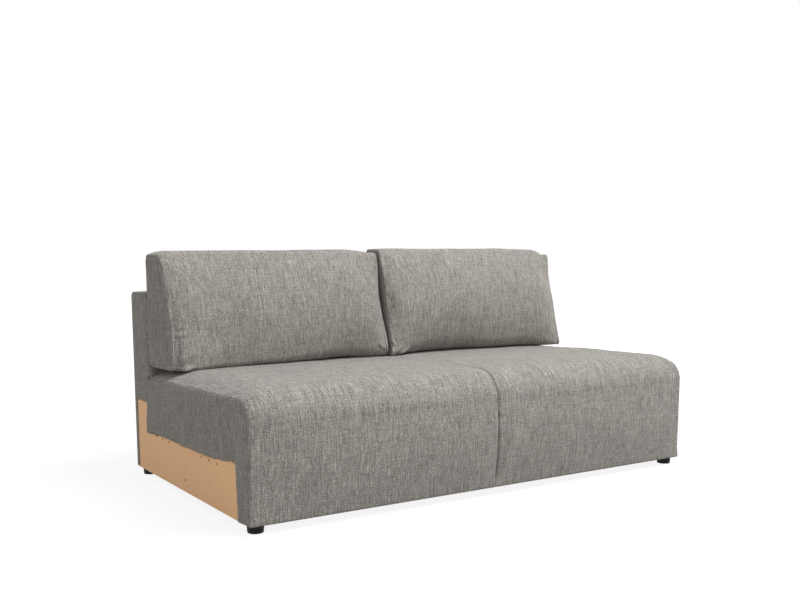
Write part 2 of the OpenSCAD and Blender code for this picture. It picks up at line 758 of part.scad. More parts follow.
slit_walls = concat(
  [for (k = [zip_first : zip_last - 1]) each concat(
    wall(at(k, slit_low), at(k + 1, slit_low)),
    wall(at(k + 1, 0), at(k, 0)))],
  wall(at(zip_first, 0), at(zip_first, slit_low)),
  wall(at(zip_last, slit_low), at(zip_last, 0)));

module cushion_cover() polyhedron(
  points = concat(cushion_points(0), cushion_points(fabric_t)),
  faces = concat(surface_faces(true), flipped(surface_faces(true)), slit_walls));
module cushion_core() polyhedron(
  points = cushion_points(foam_inset),
  faces = surface_faces(false));

module cushion_cover_right() color(fabric_colour) cushion_cover();
module cushion_cover_left() color(fabric_colour) left_half() cushion_cover();
module cushion_core_right() color(foam_colour) cushion_core();
module cushion_core_left() color(foam_colour) left_half() cushion_core();

// The zip closes the slit at the lower rear edge. Its own frame has X along
// the sofa and Y straight out of the edge.
zip_reach = zip_edge_r * cos(15);
zip_half_w = zip_edge_r * sin(15) * (zip_edge_r - fabric_t) / zip_edge_r - fit_gap;
zip_far_x = seam_far_x(cushion_rear_y - zip_edge_r);
zip_x0 = lerp(seam_near_x, zip_far_x, station_shares[zip_first - 1]) + fabric_t;
zip_x1 = lerp(seam_near_x, zip_far_x, station_shares[zip_last - 1]) - fabric_t;
chain_lift = 0.4;
module at_zip(x) translate([x, cushion_rear_y - zip_edge_r, cushion_low_z + zip_edge_r])
  rotate([-45, 0, 0]) translate([0, zip_reach, 0]) children();

module cushion_zip() at_zip(zip_x0) {
  translate([0, -tape_t, -zip_half_w]) cube([zip_x1 - zip_x0, tape_t, 2 * zip_half_w]);
  translate([slider_l / 2, chain_lift, 0]) rotate([0, 90, 0])
    cylinder(h = zip_x1 - zip_x0 - slider_l, d = chain_d, $fn = 32);
}
module cushion_zip_right() color("#77736e") cushion_zip();
module cushion_zip_left() color("#77736e") left_half() cushion_zip();

slider_start = 20;
module zip_slider() at_zip(zip_x0 + slider_start) difference() {
  translate([0, fit_gap, -slider_w / 2]) cube([slider_l, slider_h - fit_gap, slider_w]);
  translate([-over, chain_lift, 0]) rotate([0, 90, 0])
    cylinder(h = slider_l + 2 * over, d = chain_d + 2 * fit_gap, $fn = 32);
}
module zip_pull() at_zip(zip_x0 + slider_start)
  translate([slider_l / 4, slider_h, 0]) {
    difference() {
      translate([0, 0, -pull_w / 2]) cube([pull_l, pull_t, pull_w]);
      translate([pull_l - pull_w / 2, -over, 0]) rotate([-90, 0, 0])
        cylinder(h = pull_t + 2 * over, d = pull_w / 2, $fn = 24);
    }
  }
module zip_slider_right() color(steel_colour) zip_slider();
module zip_slider_left() color(steel_colour) left_half() zip_slider();
module zip_pull_right() color(steel_colour) zip_pull();
module zip_pull_left() color(steel_colour) left_half() zip_pull();

side_board_left();
side_board_right();
front_board();
centre_divider();
front_spring_rail();
rear_spring_rail();
base_front_rail();
base_rear_rail();
corner_blocks();
back_top_rail();
back_uprights();
back_front_hardboard();
back_rear_hardboard();
dowels();
seat_springs_left();
seat_springs_right();
spring_clips();
spring_tie_wires();
spring_felt();
seat_foam_left();
seat_foam_right();
front_pad_left();
front_pad_right();
back_wadding();
seat_cover_left();
seat_cover_right();
end_fabric_left();
end_fabric_right();
back_cover();
back_end_fabric_left();
back_end_fabric_right();
dust_cover();
foot_front_left();
foot_front_right();
foot_rear_left();
foot_rear_right();
foot_screws();
cushion_cover_left();
cushion_cover_right();
cushion_core_left();
cushion_core_right();
cushion_zip_left();
cushion_zip_right();
zip_slider_left();
zip_slider_right();
zip_pull_left();
zip_pull_right();
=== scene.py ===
# Armless two-seat sofa in heathered grey cloth: covers, cushions, materials, light and camera
import math

import bpy
import numpy as np
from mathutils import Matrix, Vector
from mathutils.geometry import delaunay_2d_cdt


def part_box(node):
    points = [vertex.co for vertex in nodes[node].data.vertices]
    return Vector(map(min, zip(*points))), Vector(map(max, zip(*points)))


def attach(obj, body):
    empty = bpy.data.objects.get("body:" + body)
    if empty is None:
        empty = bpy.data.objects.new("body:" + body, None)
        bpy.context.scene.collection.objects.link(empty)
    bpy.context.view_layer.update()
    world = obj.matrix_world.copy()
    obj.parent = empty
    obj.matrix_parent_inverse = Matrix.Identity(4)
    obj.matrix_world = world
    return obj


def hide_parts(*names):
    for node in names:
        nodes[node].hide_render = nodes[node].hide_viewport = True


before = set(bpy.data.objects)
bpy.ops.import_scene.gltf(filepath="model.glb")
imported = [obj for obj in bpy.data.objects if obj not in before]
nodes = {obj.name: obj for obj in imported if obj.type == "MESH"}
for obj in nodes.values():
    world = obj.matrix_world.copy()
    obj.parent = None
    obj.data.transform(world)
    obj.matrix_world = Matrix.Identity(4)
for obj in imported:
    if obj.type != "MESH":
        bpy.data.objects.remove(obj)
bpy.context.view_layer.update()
mm = 0.001
sides = {"left": -1, "right": 1}


# Camera: the photograph's own viewpoint, with the horizon below the middle of the frame
camera = {
    "place": (-2.0212, -2.9898, 0.8144),
    "yaw": -33.193,
    "pitch": 8.127,
    "focalPixels": 971.9,
    "imageWidth": 800,
    "imageHeight": 601,
    "axisRow": 390,
    "sensor": 36,
}


def makeCamera(view):
    data = bpy.data.cameras.new("photoCamera")
    data.sensor_fit = "HORIZONTAL"
    data.sensor_width = view["sensor"]
    data.lens = view["sensor"] * view["focalPixels"] / view["imageWidth"]
    data.shift_y = (view["axisRow"] - view["imageHeight"] / 2) / view["imageWidth"]
    data.clip_start, data.clip_end = 0.05, 60
    eye = bpy.data.objects.new("photoCamera", data)
    bpy.context.scene.collection.objects.link(eye)
    yaw, pitch = math.radians(view["yaw"]), math.radians(view["pitch"])
    back = Vector((math.sin(yaw) * math.cos(pitch), -math.cos(yaw) * math.cos(pitch), math.sin(pitch)))
    eye.location = view["place"]
    eye.rotation_mode = "QUATERNION"
    eye.rotation_quaternion = (-back).to_track_quat("-Z", "Y")
    bpy.context.scene.camera = eye


makeCamera(camera)
print("camera placed")


# Materials

def hexColour(code):
    channels = [int(code[i:i + 2], 16) / 255 for i in (1, 3, 5)]
    return [c / 12.92 if c <= 0.04045 else ((c + 0.055) / 1.055) ** 2.4 for c in channels] + [1]


def addNode(tree, kind, settings=None):
    # a setting is a value of the node or of one of its inputs, or the output that an input is linked to
    node = tree.nodes.new(kind)
    for name, value in (settings or {}).items():
        if isinstance(value, bpy.types.NodeSocket):
            tree.links.new(value, node.inputs[name])
        elif isinstance(name, int) or name in node.inputs:
            node.inputs[name].default_value = value
        else:
            setattr(node, name, value)
    return node


def startMaterial(name, shaderSettings):
    material = bpy.data.materials.new(name)
    material.use_nodes = True
    tree = material.node_tree
    tree.nodes.clear()
    shader = addNode(tree, "ShaderNodeBsdfPrincipled", shaderSettings)
    addNode(tree, "ShaderNodeOutputMaterial", {"Surface": shader.outputs[0]})
    return material, tree, shader


def feed(tree, value, shader, name):
    tree.links.new(value, shader.inputs[name])


def objectCoord(tree):
    return addNode(tree, "ShaderNodeTexCoord").outputs["Object"]


def shaded(colour, factor):
    return [min(1, c * factor) for c in colour[:3]] + [1]


def scaledNoise(tree, coord, sizes, detail=2.0, shift=0.0):
    # noise whose grain is sizes millimetres along each axis
    mapped = addNode(tree, "ShaderNodeMapping", {
        "Scale": [1 / (s * mm) for s in sizes], "Vector": coord,
        "Location": [shift, shift * 1.7, shift * 0.6]})
    return addNode(tree, "ShaderNodeTexNoise", {"Scale": 1.0, "Detail": detail, "Roughness": 0.55,
                                                "Vector": mapped.outputs[0]}).outputs["Fac"]


def shareOf(tree, value, low, high, outLow=0.0, outHigh=1.0):
    return addNode(tree, "ShaderNodeMapRange", {"From Min": low, "From Max": high, "To Min": outLow,
                                                "To Max": outHigh, "Value": value}).outputs[0]


def blendColour(tree, factor, a, b, mode="MIX"):
    mix = {"data_type": "RGBA", "blend_type": mode, 0: factor, 6: a, 7: b}
    return addNode(tree, "ShaderNodeMix", mix).outputs[2]


def mathNode(tree, operation, a, b=0.0):
    return addNode(tree, "ShaderNodeMath", {"operation": operation, 0: a, 1: b}).outputs[0]


def addBump(tree, shader, height, strength, distance):
    bump = addNode(tree, "ShaderNodeBump", {
        "Strength": strength, "Distance": distance * mm, "Height": height})
    feed(tree, bump.outputs[0], shader, "Normal")


# Heathered upholstery cloth, polyester yarns of several greys in a plain weave: soft, matt,
# with light and dark flecks and slubs that run along both yarns. The real yarns are about
# 0.8 mm apart; flecks and slubs are drawn two to three times coarser, so that they show.
cloth = {
    "dark": "#524e4a",
    "mid": "#83807b",
    "light": "#b2ada6",
    "warm": "#8a776c",
    "yarn": 2.0,
    "slub": 24.0,
    "cord": 3.2,
    "fleck": 2.3,
    "patch": 60.0,
    "bump": 0.3,
}


def makeCloth(name, shade=1.0):
    material, tree, shader = startMaterial(name, {
        "Roughness": 0.95, "Specular IOR Level": 0.2, "IOR": 1.5,
        "Sheen Weight": 0.10, "Sheen Roughness": 0.6})
    coord = addNode(tree, "ShaderNodeAttribute", {"attribute_name": "clothCoord"}).outputs["Vector"]
    yarn, slub, fleck = cloth["yarn"], cloth["slub"], cloth["fleck"]
    layers = (
        (scaledNoise(tree, coord, (yarn, slub, 10), 2.0, 3.1), 0.23),
        (scaledNoise(tree, coord, (cloth["cord"], slub * 3, 10), 2.0, 5.3), 0.25),
        (scaledNoise(tree, coord, (slub * 2.4, cloth["cord"], 10), 2.0, 7.7), 0.11),
        (scaledNoise(tree, coord, (fleck, fleck * 1.4, 10), 1.0, 11.3), 0.41))
    heather = 0.0
    for layer, amount in layers:
        heather = mathNode(tree, "ADD", mathNode(tree, "MULTIPLY", layer, amount), heather)
    speck = scaledNoise(tree, coord, (fleck * 1.6, fleck * 2.6, 10), 0.0, 29.0)
    tone = blendColour(tree, shareOf(tree, heather, 0.38, 0.50),
                       hexColour(cloth["dark"]), hexColour(cloth["mid"]))
    tone = blendColour(tree, shareOf(tree, heather, 0.50, 0.62), tone, hexColour(cloth["light"]))
    tone = blendColour(tree, shareOf(tree, speck, 0.62, 0.74, 0.0, 0.3), tone, hexColour(cloth["warm"]))
    patch = scaledNoise(tree, coord, (cloth["patch"], cloth["patch"] * 2.5, 10), 3.0, 19.0)
    level = shareOf(tree, patch, 0.3, 0.7, 0.96 * shade, 1.04 * shade)
    feed(tree, blendColour(tree, 1.0, tone, level, "MULTIPLY"), shader, "Base Color")
    addBump(tree, shader, heather, cloth["bump"], 0.5)
    return material


# Needled or non-woven cloths and wadding: bonded fibres with no yarns, so only a fine fibrous noise
def makeFibre(name, code, grain, contrast, roughness=0.95):
    material, tree, shader = startMaterial(name, {
        "Roughness": roughness, "Specular IOR Level": 0.2, "Sheen Weight": 0.2})
    coord = objectCoord(tree)
    fibre = scaledNoise(tree, coord, (grain, grain * 2.5, grain * 1.6), 4.0)
    base = hexColour(code)
    tone = blendColour(tree, shareOf(tree, fibre, 0.35, 0.65),
                       shaded(base, 1 - contrast), shaded(base, 1 + contrast))
    feed(tree, tone, shader, "Base Color")
    addBump(tree, shader, fibre, 0.4, 0.5)
    return material


# Medium-density fibreboard, pressed from fine fibres and sanded: an even warm tan with a faint
# speckle of darker fibre bundles; cut edges and drilled holes are darker and rougher
board = {"face": "#f7c898", "fibre": "#efbd8c", "speck": "#c29262", "edge": "#a57c54",
         "grain": 1.8, "mottle": 45}


def makeBoard(name):
    material, tree, shader = startMaterial(name, {"Roughness": 0.62, "Specular IOR Level": 0.3, "IOR": 1.5})
    coord = objectCoord(tree)
    fine = scaledNoise(tree, coord, (board["grain"],) * 3, 3.0)
    mottle = scaledNoise(tree, coord, (board["mottle"],) * 3, 3.0, 5.0)
    speck = scaledNoise(tree, coord, (board["grain"] * 2,) * 3, 1.0, 9.0)
    tone = blendColour(tree, shareOf(tree, fine, 0.35, 0.65),
                       hexColour(board["fibre"]), hexColour(board["face"]))
    tone = blendColour(tree, shareOf(tree, mottle, 0.35, 0.75, 0.0, 0.5), tone, hexColour(board["fibre"]))
    tone = blendColour(tree, shareOf(tree, speck, 0.66, 0.76, 0.0, 0.4), tone, hexColour(board["speck"]))
    normal = addNode(tree, "ShaderNodeNewGeometry").outputs["Normal"]
    across = addNode(tree, "ShaderNodeSeparateXYZ", {0: normal}).outputs[0]
    faceShare = shareOf(tree, mathNode(tree, "ABSOLUTE", across), 0.3, 0.9)
    feed(tree, blendColour(tree, faceShare, hexColour(board["edge"]), tone), shader, "Base Color")
    feed(tree, shareOf(tree, fine, 0.3, 0.7, 0.55, 0.72), shader, "Roughness")
    addBump(tree, shader, fine, 0.25, 0.3)
    return material


# Sawn softwood: growth rings about 3 mm apart drawn out along the rail, and a rough sawn face
def makeTimber(name, pale, dark, along=(1, 0, 0)):
    material, tree, shader = startMaterial(name, {"Roughness": 0.7, "Specular IOR Level": 0.4})
    coord = objectCoord(tree)
    rings = scaledNoise(tree, coord, [260 if a else 3.0 for a in along], 4.0)
    saw = scaledNoise(tree, coord, [1.2 if a else 30 for a in along], 2.0, 4.0)
    tone = blendColour(tree, shareOf(tree, rings, 0.35, 0.65), hexColour(dark), hexColour(pale))
    feed(tree, tone, shader, "Base Color")
    addBump(tree, shader, saw, 0.3, 0.3)
    return material


# Drawn and pressed steel: fine draw lines along the wire or strip, dulled by oil or zinc
def makeSteel(name, code, roughness, grain=0.3):
    material, tree, shader = startMaterial(name, {"Metallic": 1.0})
    coord = objectCoord(tree)
    lines = scaledNoise(tree, coord, (grain * 30, grain, grain), 3.0)
    dull = shareOf(tree, lines, 0.3, 0.7, roughness - 0.08, roughness + 0.12)
    feed(tree, dull, shader, "Roughness")
    base = hexColour(code)
    tone = blendColour(tree, shareOf(tree, lines, 0.2, 0.8), shaded(base, 0.8), base)
    feed(tree, tone, shader, "Base Color")
    return material


# Moulded plastic, polypropylene or polyester: the fine spark-eroded grain of its mould
def makePlastic(name, code, roughness):
    material, tree, shader = startMaterial(name, {"IOR": 1.49, "Specular IOR Level": 0.2})
    coord = objectCoord(tree)
    grain = scaledNoise(tree, coord, (0.9,) * 3, 2.0)
    base = hexColour(code)
    tone = blendColour(tree, shareOf(tree, grain, 0.3, 0.7), shaded(base, 0.8), base)
    feed(tree, tone, shader, "Base Color")
    dull = shareOf(tree, grain, 0.3, 0.7, roughness - 0.05, roughness + 0.1)
    feed(tree, dull, shader, "Roughness")
    addBump(tree, shader, grain, 0.2, 0.1)
    return material


# Flexible polyurethane foam: open cells about 1 mm across, each with painted shade in its hollow
def makeFoam(name, code):
    material, tree, shader = startMaterial(name, {"Roughness": 0.95, "Specular IOR Level": 0.2})
    coord = objectCoord(tree)
    mapped = addNode(tree, "ShaderNodeMapping", {"Scale": [1 / (1.1 * mm)] * 3, "Vector": coord}).outputs[0]
    cells = addNode(tree, "ShaderNodeTexVoronoi", {"Scale": 1.0, "Vector": mapped}).outputs["Distance"]
    base = hexColour(code)
    # painted shade: each cell is darker towards its middle, where the bump below makes its hollow
    tone = blendColour(tree, shareOf(tree, cells, 0.0, 0.7), shaded(base, 0.75), base)
    feed(tree, tone, shader, "Base Color")
    addBump(tree, shader, cells, 0.5, 0.5)
    return material


wovenCloth = makeCloth("wovenCloth")
frayedYarn = makeCloth("frayedYarn", 1.3)
pressedBoard = makeBoard("pressedBoard")
sawnSoftwood = makeTimber("sawnSoftwood", "#dcc190", "#c39d66")
turnedBeech = makeTimber("turnedBeech", "#d9b78a", "#bd9464")
temperedHardboard = makeFibre("temperedHardboard", "#6b4a30", 0.8, 0.18, 0.6)
oiledSpringSteel = makeSteel("oiledSpringSteel", "#5b5c5e", 0.38)
zincSteel = makeSteel("zincSteel", "#a9abae", 0.32)
needledFelt = makeFibre("needledFelt", "#6f6a60", 1.2, 0.3)
polyesterWadding = makeFibre("polyesterWadding", "#eceae6", 2.0, 0.08)
cutFoam = makeFoam("cutFoam", "#e6dcb4")
bondedDustCloth = makeFibre("bondedDustCloth", "#242426", 0.9, 0.35)
mouldedFoot = makePlastic("mouldedFoot", "#0c0c0d", 0.5)
wovenTape = makeFibre("wovenTape", "#77736e", 0.7, 0.2)
polyesterCoil = makePlastic("polyesterCoil", "#6d6a66", 0.38)
print("materials made")

finishes = {
    pressedBoard: ["side_board_left", "side_board_right", "front_board", "centre_divider", "back_top_rail",
                   "back_uprights"],
    sawnSoftwood: ["front_spring_rail", "rear_spring_rail", "base_front_rail", "base_rear_rail",
                   "corner_blocks"],
    turnedBeech: ["dowels"],
    temperedHardboard: ["back_front_hardboard", "back_rear_hardboard"],
    oiledSpringSteel: ["seat_springs_left", "seat_springs_right", "spring_tie_wires"],
    zincSteel: ["spring_clips", "foot_screws", "zip_slider_left", "zip_slider_right", "zip_pull_left",
                "zip_pull_right"],
    mouldedFoot: ["foot_front_left", "foot_front_right", "foot_rear_left", "foot_rear_right"],
}
for material, names in finishes.items():
    for name in names:
        nodes[name].data.materials.clear()
        nodes[name].data.materials.append(material)


# Mesh tools. Points are in millimetres until meshFrom turns them to metres.

def meshFrom(name, points, faces, coords, material):
    mesh = bpy.data.meshes.new(name)
    places = [tuple(p) for p in np.asarray(points) * mm]
    mesh.from_pydata(places, [], [tuple(int(i) for i in f) for f in faces])
    mesh.update()
    attribute = mesh.attributes.new("clothCoord", "FLOAT_VECTOR", "POINT")
    flat = np.zeros((len(points), 3), np.float32)
    flat[:, :2] = np.asarray(coords)[:, :2] * mm
    attribute.data.foreach_set("vector", flat.ravel())
    mesh.polygons.foreach_set("use_smooth", [True] * len(mesh.polygons))
    mesh.materials.append(material)
    piece = bpy.data.objects.new(name, mesh)
    bpy.context.scene.collection.objects.link(piece)
    return piece


def readPoints(piece, what="co"):
    flat = np.zeros(len(piece.data.vertices) * 3, np.float32)
    piece.data.vertices.foreach_get(what, flat)
    return flat.reshape(-1, 3)


def writePoints(piece, points):
    piece.data.vertices.foreach_set("co", (points * mm).astype(np.float32).ravel())
    piece.data.update()


def pathLength(path):
    # length along a path of Y and Z, as a column
    return np.concatenate([[0], np.cumsum(np.hypot(*np.diff(path[:, :2], axis=0).T))])[:, None]


def gridFaces(rows, cols, turn=False):
    a = np.arange(rows - 1)[:, None] * cols + np.arange(cols - 1)[None, :]
    quads = np.stack([a, a + 1, a + cols + 1, a + cols], -1)
    return quads[:, :, ::-1] if turn else quads


def closedSkin(grid):
    # faces of a closed block between an outer grid and an inner one of the same size
    rows, cols = grid.shape[:2]
    outer = gridFaces(rows, cols).reshape(-1, 4)
    inner = gridFaces(rows, cols, turn=True).reshape(-1, 4) + rows * cols
    rim = np.concatenate([np.arange(cols), np.arange(1, rows) * cols + cols - 1,
                          rows * cols - 2 - np.arange(cols - 1), (rows - 2 - np.arange(rows - 1)) * cols])
    walls = np.stack([rim[1:], rim[:-1], rim[:-1] + rows * cols, rim[1:] + rows * cols], -1)
    return np.concatenate([outer, inner, walls])


def ease(t):
    t = np.clip(t, 0, 1)
    return t * t * (3 - 2 * t)


def waves(a, b, seed, size, count=9):
    # smooth, seeded unevenness between about -1 and 1, with features about size across
    draw = np.random.default_rng(seed)
    total = np.zeros(np.broadcast(a, b).shape)
    for _ in range(count):
        angle, phase = draw.uniform(0, 2 * math.pi), draw.uniform(0, 2 * math.pi)
        stretch = draw.uniform(0.7, 1.8)
        k = 2 * math.pi / (size * stretch)
        total = total + np.sin(k * (a * math.cos(angle) + b * math.sin(angle)) + phase)
    return total / count ** 0.5 / 1.4


def segmentCrease(a, b, start, end, width, depth):
    # a crease pressed along a line from start to end, with a soft ridge beside it
    start, end = np.array(start, float), np.array(end, float)
    line = end - start
    length = np.hypot(*line)
    along = ((a - start[0]) * line[0] + (b - start[1]) * line[1]) / length
    off = ((a - start[0]) * line[1] - (b - start[1]) * line[0]) / length
    fade = ease(along / (0.25 * length) + 0.3) * ease((length - along) / (0.55 * length))
    inside = (along > -0.3 * length) & (along < 1.05 * length)
    shape = -np.exp(-(off / width) ** 2) + 0.55 * np.exp(-((off - 2.1 * width) / (1.3 * width)) ** 2)
    return np.where(inside, depth * fade * shape, 0)


def dressPiece(piece, body, nodeNames):
    if nodeNames:
        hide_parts(*nodeNames)
    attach(piece, body)
    return piece


def addThickness(piece, thick, offset):
    skin = piece.modifiers.new("thickness", "SOLIDIFY")
    skin.thickness, skin.offset = thick * mm, offset


def addSubdivision(piece):
    smooth = piece.modifiers.new("smooth", "SUBSURF")
    smooth.levels = smooth.render_levels = 1


def flatArea(points, faces):
    # area in square metres of quads or triangles given in millimetres
    total = 0.0
    for face in faces:
        p = points[np.asarray(face, int)]
        turns = (np.cross(p[i] - p[0], p[i + 1] - p[0]) for i in range(1, len(p) - 1))
        total += 0.5 * np.linalg.norm(sum(turns))
    return total * mm * mm


# Sizes that the covers share with the CAD frame
sofa = {
    "halfWidth": 900.0,
    "frontY": -490.0,
    "rearY": 510.0,
    "backY": 351.0,
    "seatHeight": 411.0,
    "backHeight": 670.0,
    "footHeight": 25.0,
    "noseRadius": 88.0,
    "clothThickness": 1.5,
    "deckHeight": 311.0,
    "boardFrontY": -475.0,
}


# Seat covers: one sheet from under the base, up the crowned front, over the nose and back
seat = {
    "frontCrown": 20.0,
    "seatCrown": 14.0,
    "sideRoll": 47.0,
    "cornerRoll": 10.0,
    "topTurn": 34.0,  # how far, in degrees, the top has turned down where it meets the end panel
    "rollShares": ((0, 0), (0.01, 0), (0.032, 0.16), (0.074, 0.54), (0.134, 0.73), (0.298, 0.89),
                   (0.518, 0.89), (0.75, 0.7), (1, 1)),
    "hemRoll": 3.0,
    "hemRadius": 8.0,
    "turnUnder": 20.0,
    "hemRollRun": 50.0,
    "crownEndY": 156.0,
    "crownRun": 320.0,
    "groove": 7.0,
    "grooveWidth": 26.0,
    "grooveFade": 90.0,
    "seamDepth": 3.6,
    "seamWidth": 2.6,
    "seamRidge": (0.8, 8.0, 4.0),  # height, place and width of the ridge beside the middle seam
    "waves": ((0.9, 230), (0.35, 80)),  # height and size of the cover's unevenness
    "tuck": (5.0, 1.3, 1.4),  # run, and how far the cover turns in sideways and down at the end seam
    "gathers": 12,
    "gatherRun": 126.0,
    "step": 7.0,
    "flatEnd": 840,  # where the flat part's columns end, before they are scaled to the real width
    "fineFrom": 740,
    "rollSteps": 16,
    "seamGap": 0.15,
    "endClearance": 0.3,
    "foamInset": 9.0,
}
noseStart = 321.0  # length along the cover from its hem to where the nose begins
noseEnd = 459.0


def liftOff(y, z, angle, lift):
    # moves a path's points outwards, to where the cover faces
    return y - lift * np.cos(np.radians(angle)), z + lift * np.sin(np.radians(angle))


def seatPath():
    # Y, Z and facing angle along the middle of the cover
    s, nose = sofa, sofa["noseRadius"]
    pts = [(s["frontY"] + seat["turnUnder"], s["footHeight"], -90.0)]
    pts.append((s["frontY"] + seat["hemRadius"] + 4, s["footHeight"], -90.0))
    for a in np.linspace(-90, 0, 7):
        r = math.radians(a)
        pts.append((s["frontY"] + seat["hemRadius"] * (1 - math.cos(r)),
                    s["footHeight"] + seat["hemRadius"] * (1 + math.sin(r)), a))
    noseZ, noseY = s["seatHeight"] - nose, s["frontY"] + nose
    for z in np.linspace(s["footHeight"] + seat["hemRadius"], noseZ, 42)[1:-1]:
        pts.append((s["frontY"], z, 0.0))
    for a in np.linspace(0, 90, 44):
        r = math.radians(a)
        pts.append((noseY - nose * math.cos(r), noseZ + nose * math.sin(r), a))
    fine = np.arange(noseY + 3, noseY + 110, 3)  # close together where the cover is creased
    for y in np.concatenate([fine, np.linspace(noseY + 113, s["backY"] - seat["endClearance"], 84)]):
        pts.append((y, s["seatHeight"], 90.0))
    return np.array(pts)


def seatSwell(x, y, z, angle):
    s = sofa
    rise = np.clip((z - s["footHeight"]) / (s["seatHeight"] - s["footHeight"]), 0, 1)
    facing = np.radians(angle)
    front = seat["frontCrown"] * (1 - (x / s["halfWidth"]) ** 6) * np.sin(np.pi * rise) * np.cos(facing)
    top = seat["seatCrown"] * ease((seat["crownEndY"] - y) / seat["crownRun"]) * np.maximum(0, np.sin(facing))
    fadeEnd = s["frontY"] + s["noseRadius"] + seat["grooveFade"]
    seam = ease((fadeEnd - y) / seat["grooveFade"]) * ease((z - s["footHeight"]) / seat["hemRollRun"])
    groove = seat["groove"] * np.exp(-x / seat["grooveWidth"]) * seam
    return front + top - groove


def seatRoll(y, z):
    depth = (y - sofa["frontY"]) / (sofa["backY"] - sofa["frontY"])
    share = np.interp(depth, *zip(*seat["rollShares"]))
    wide = seat["cornerRoll"] + (seat["sideRoll"] - seat["cornerRoll"]) * share
    return seat["hemRoll"] + (wide - seat["hemRoll"]) * ease((z - sofa["footHeight"]) / seat["hemRollRun"])


def endSeamLine(path):
    # Y and Z where the seat cover's roll meets the end fabric
    y, z, a = path.T
    lift = seatSwell(sofa["halfWidth"], y, z, a) - seatRoll(y, z) - 0.3
    return np.stack(liftOff(y, z, a, lift), -1)


def seatShares():
    # columns close together at the middle seam and over the end roll
    near = np.array([0, 1.2, 2.4, 3.8, 5.5, 7.5, 11, 15, 20, 26, 33, 40])
    step, fine, end = seat["step"], seat["fineFrom"], seat["flatEnd"]
    middle = np.concatenate([np.arange(47, fine, step), np.arange(fine, end, step / 2)])
    return np.concatenate([near, middle]) / end


def seatGrid(path, inset, extraLift):
    # points of one half of the seat, inset below the cover's surface
    y, z, angle = (path[:, k][:, None] for k in range(3))
    roll = seatRoll(y, z)
    shares = seatShares()[None, :]
    onTop = ease((z - sofa["seatHeight"] + sofa["noseRadius"] + 5) / 60)
    full = np.radians(90 - (90 - seat["topTurn"]) * onTop)
    bend = roll / (1 - np.cos(full))
    start = sofa["halfWidth"] - bend * np.sin(full)
    turns = full * np.linspace(0, 1, seat["rollSteps"] + 1)[None, 1:]
    flatX = seat["seamGap"] + (start - seat["seamGap"]) * shares
    x = np.concatenate([flatX, start + (bend - inset) * np.sin(turns)], 1)
    drop = np.concatenate([np.zeros_like(flatX) + inset, bend - (bend - inset) * np.cos(turns)], 1)
    arc = np.concatenate([flatX, flatX[:, -1:] + bend * turns], 1)
    lift = seatSwell(x, y, z, angle) - drop + extraLift(x, arc)
    return np.stack([x, *liftOff(y, z, angle, lift)], -1), arc


def makeSeatCover(side):
    path = seatPath()
    v = pathLength(path)
    y = path[:, 0][:, None]
    seed = 5 if side == "left" else 8
    ridge, ridgePlace, ridgeWidth = seat["seamRidge"]
    (wide, wideSize), (fine, fineSize) = seat["waves"]
    tuckRun, tuckIn, tuckDown = seat["tuck"]
    seamFade = ease((sofa["frontY"] + 300 - y) / 150) * ease((v - 18) / 12)
    rearSeam = 0.35 * ease((v - noseEnd) / 60)

    def coverLift(x, arc):
        inner = ease((v - 40) / 60) * ease((v[-1] - v) / 60)
        endFade = ease((sofa["halfWidth"] - x) / 60)
        uneven = wide * waves(x, v, seed, wideSize) + fine * waves(x, v * 1.3, seed + 1, fineSize)
        lift = inner * endFade * uneven
        along = np.maximum(seamFade, rearSeam)
        seam = np.exp(-(x / seat["seamWidth"]) ** 2) * along
        lift = lift - seat["seamDepth"] * seam
        lift = lift + ridge * np.exp(-((x - ridgePlace) / ridgeWidth) ** 2) * along
        return lift + seatCreases(side, arc, v)

    points, arc = seatGrid(path, 0.0, coverLift)
    tuck = ease((arc - (arc[:, -1:] - tuckRun)) / tuckRun)  # the cover turns in at the end seam
    points[:, :, 0] -= tuckIn * tuck ** 2
    points[:, :, 2] -= tuckDown * tuck ** 2 * ease((points[:, :, 2] - 300) / 40)
    points[:, :, 0] *= sides[side]
    coords = np.stack([arc * sides[side], np.broadcast_to(v, arc.shape)], -1)
    rows, cols = arc.shape
    faces = gridFaces(rows, cols, turn=(side == "left")).reshape(-1, 4)
    piece = meshFrom(f"seatCover{side.capitalize()}", points.reshape(-1, 3), faces, coords.reshape(-1, 2),
                     wovenCloth)
    addThickness(piece, sofa["clothThickness"], -1)
    return dressPiece(piece, "root", [f"seat_cover_{side}"])


def seatCreases(side, arc, v):
    # arc runs from the middle seam and v from the hem: the front, then the nose from noseStart to noseEnd
    total = np.zeros(np.broadcast(arc, v).shape)
    draw = np.random.default_rng(31 if side == "left" else 32)
    edge = arc[:, -1:].max(axis=1, keepdims=True)
    fromEdge = edge - arc
    for k in range(seat["gathers"]):  # gathers where the cover turns round the end panel's corner
        place = noseStart - 4 + seat["gatherRun"] * (k + 0.5) / seat["gathers"] + draw.uniform(-3, 3)
        reach = draw.uniform(14, 30)
        total += segmentCrease(fromEdge, v, (-6, place), (reach, place + draw.uniform(-7, 7)), 2.6,
                               draw.uniform(0.9, 1.9))
    for (x0, v0), (x1, v1), width, depth in seatFolds[side]:
        total += segmentCrease(fromEdge, v, (x0, noseEnd + v0), (x1, noseEnd + v1), width, depth)
    if side == "right":  # short puckers beside the middle seam on the nose
        for above, reach, depth in ((72, 26, 1.9), (90, 32, 2.3), (106, 22, 1.3)):
            place = noseStart + above
            total += segmentCrease(arc, v, (0, place), (reach, place + 6), 2.6, depth)
    else:
        total += segmentCrease(arc, v, (0, noseStart + 92), (18, noseStart + 96), 2.4, 0.9)
    return total


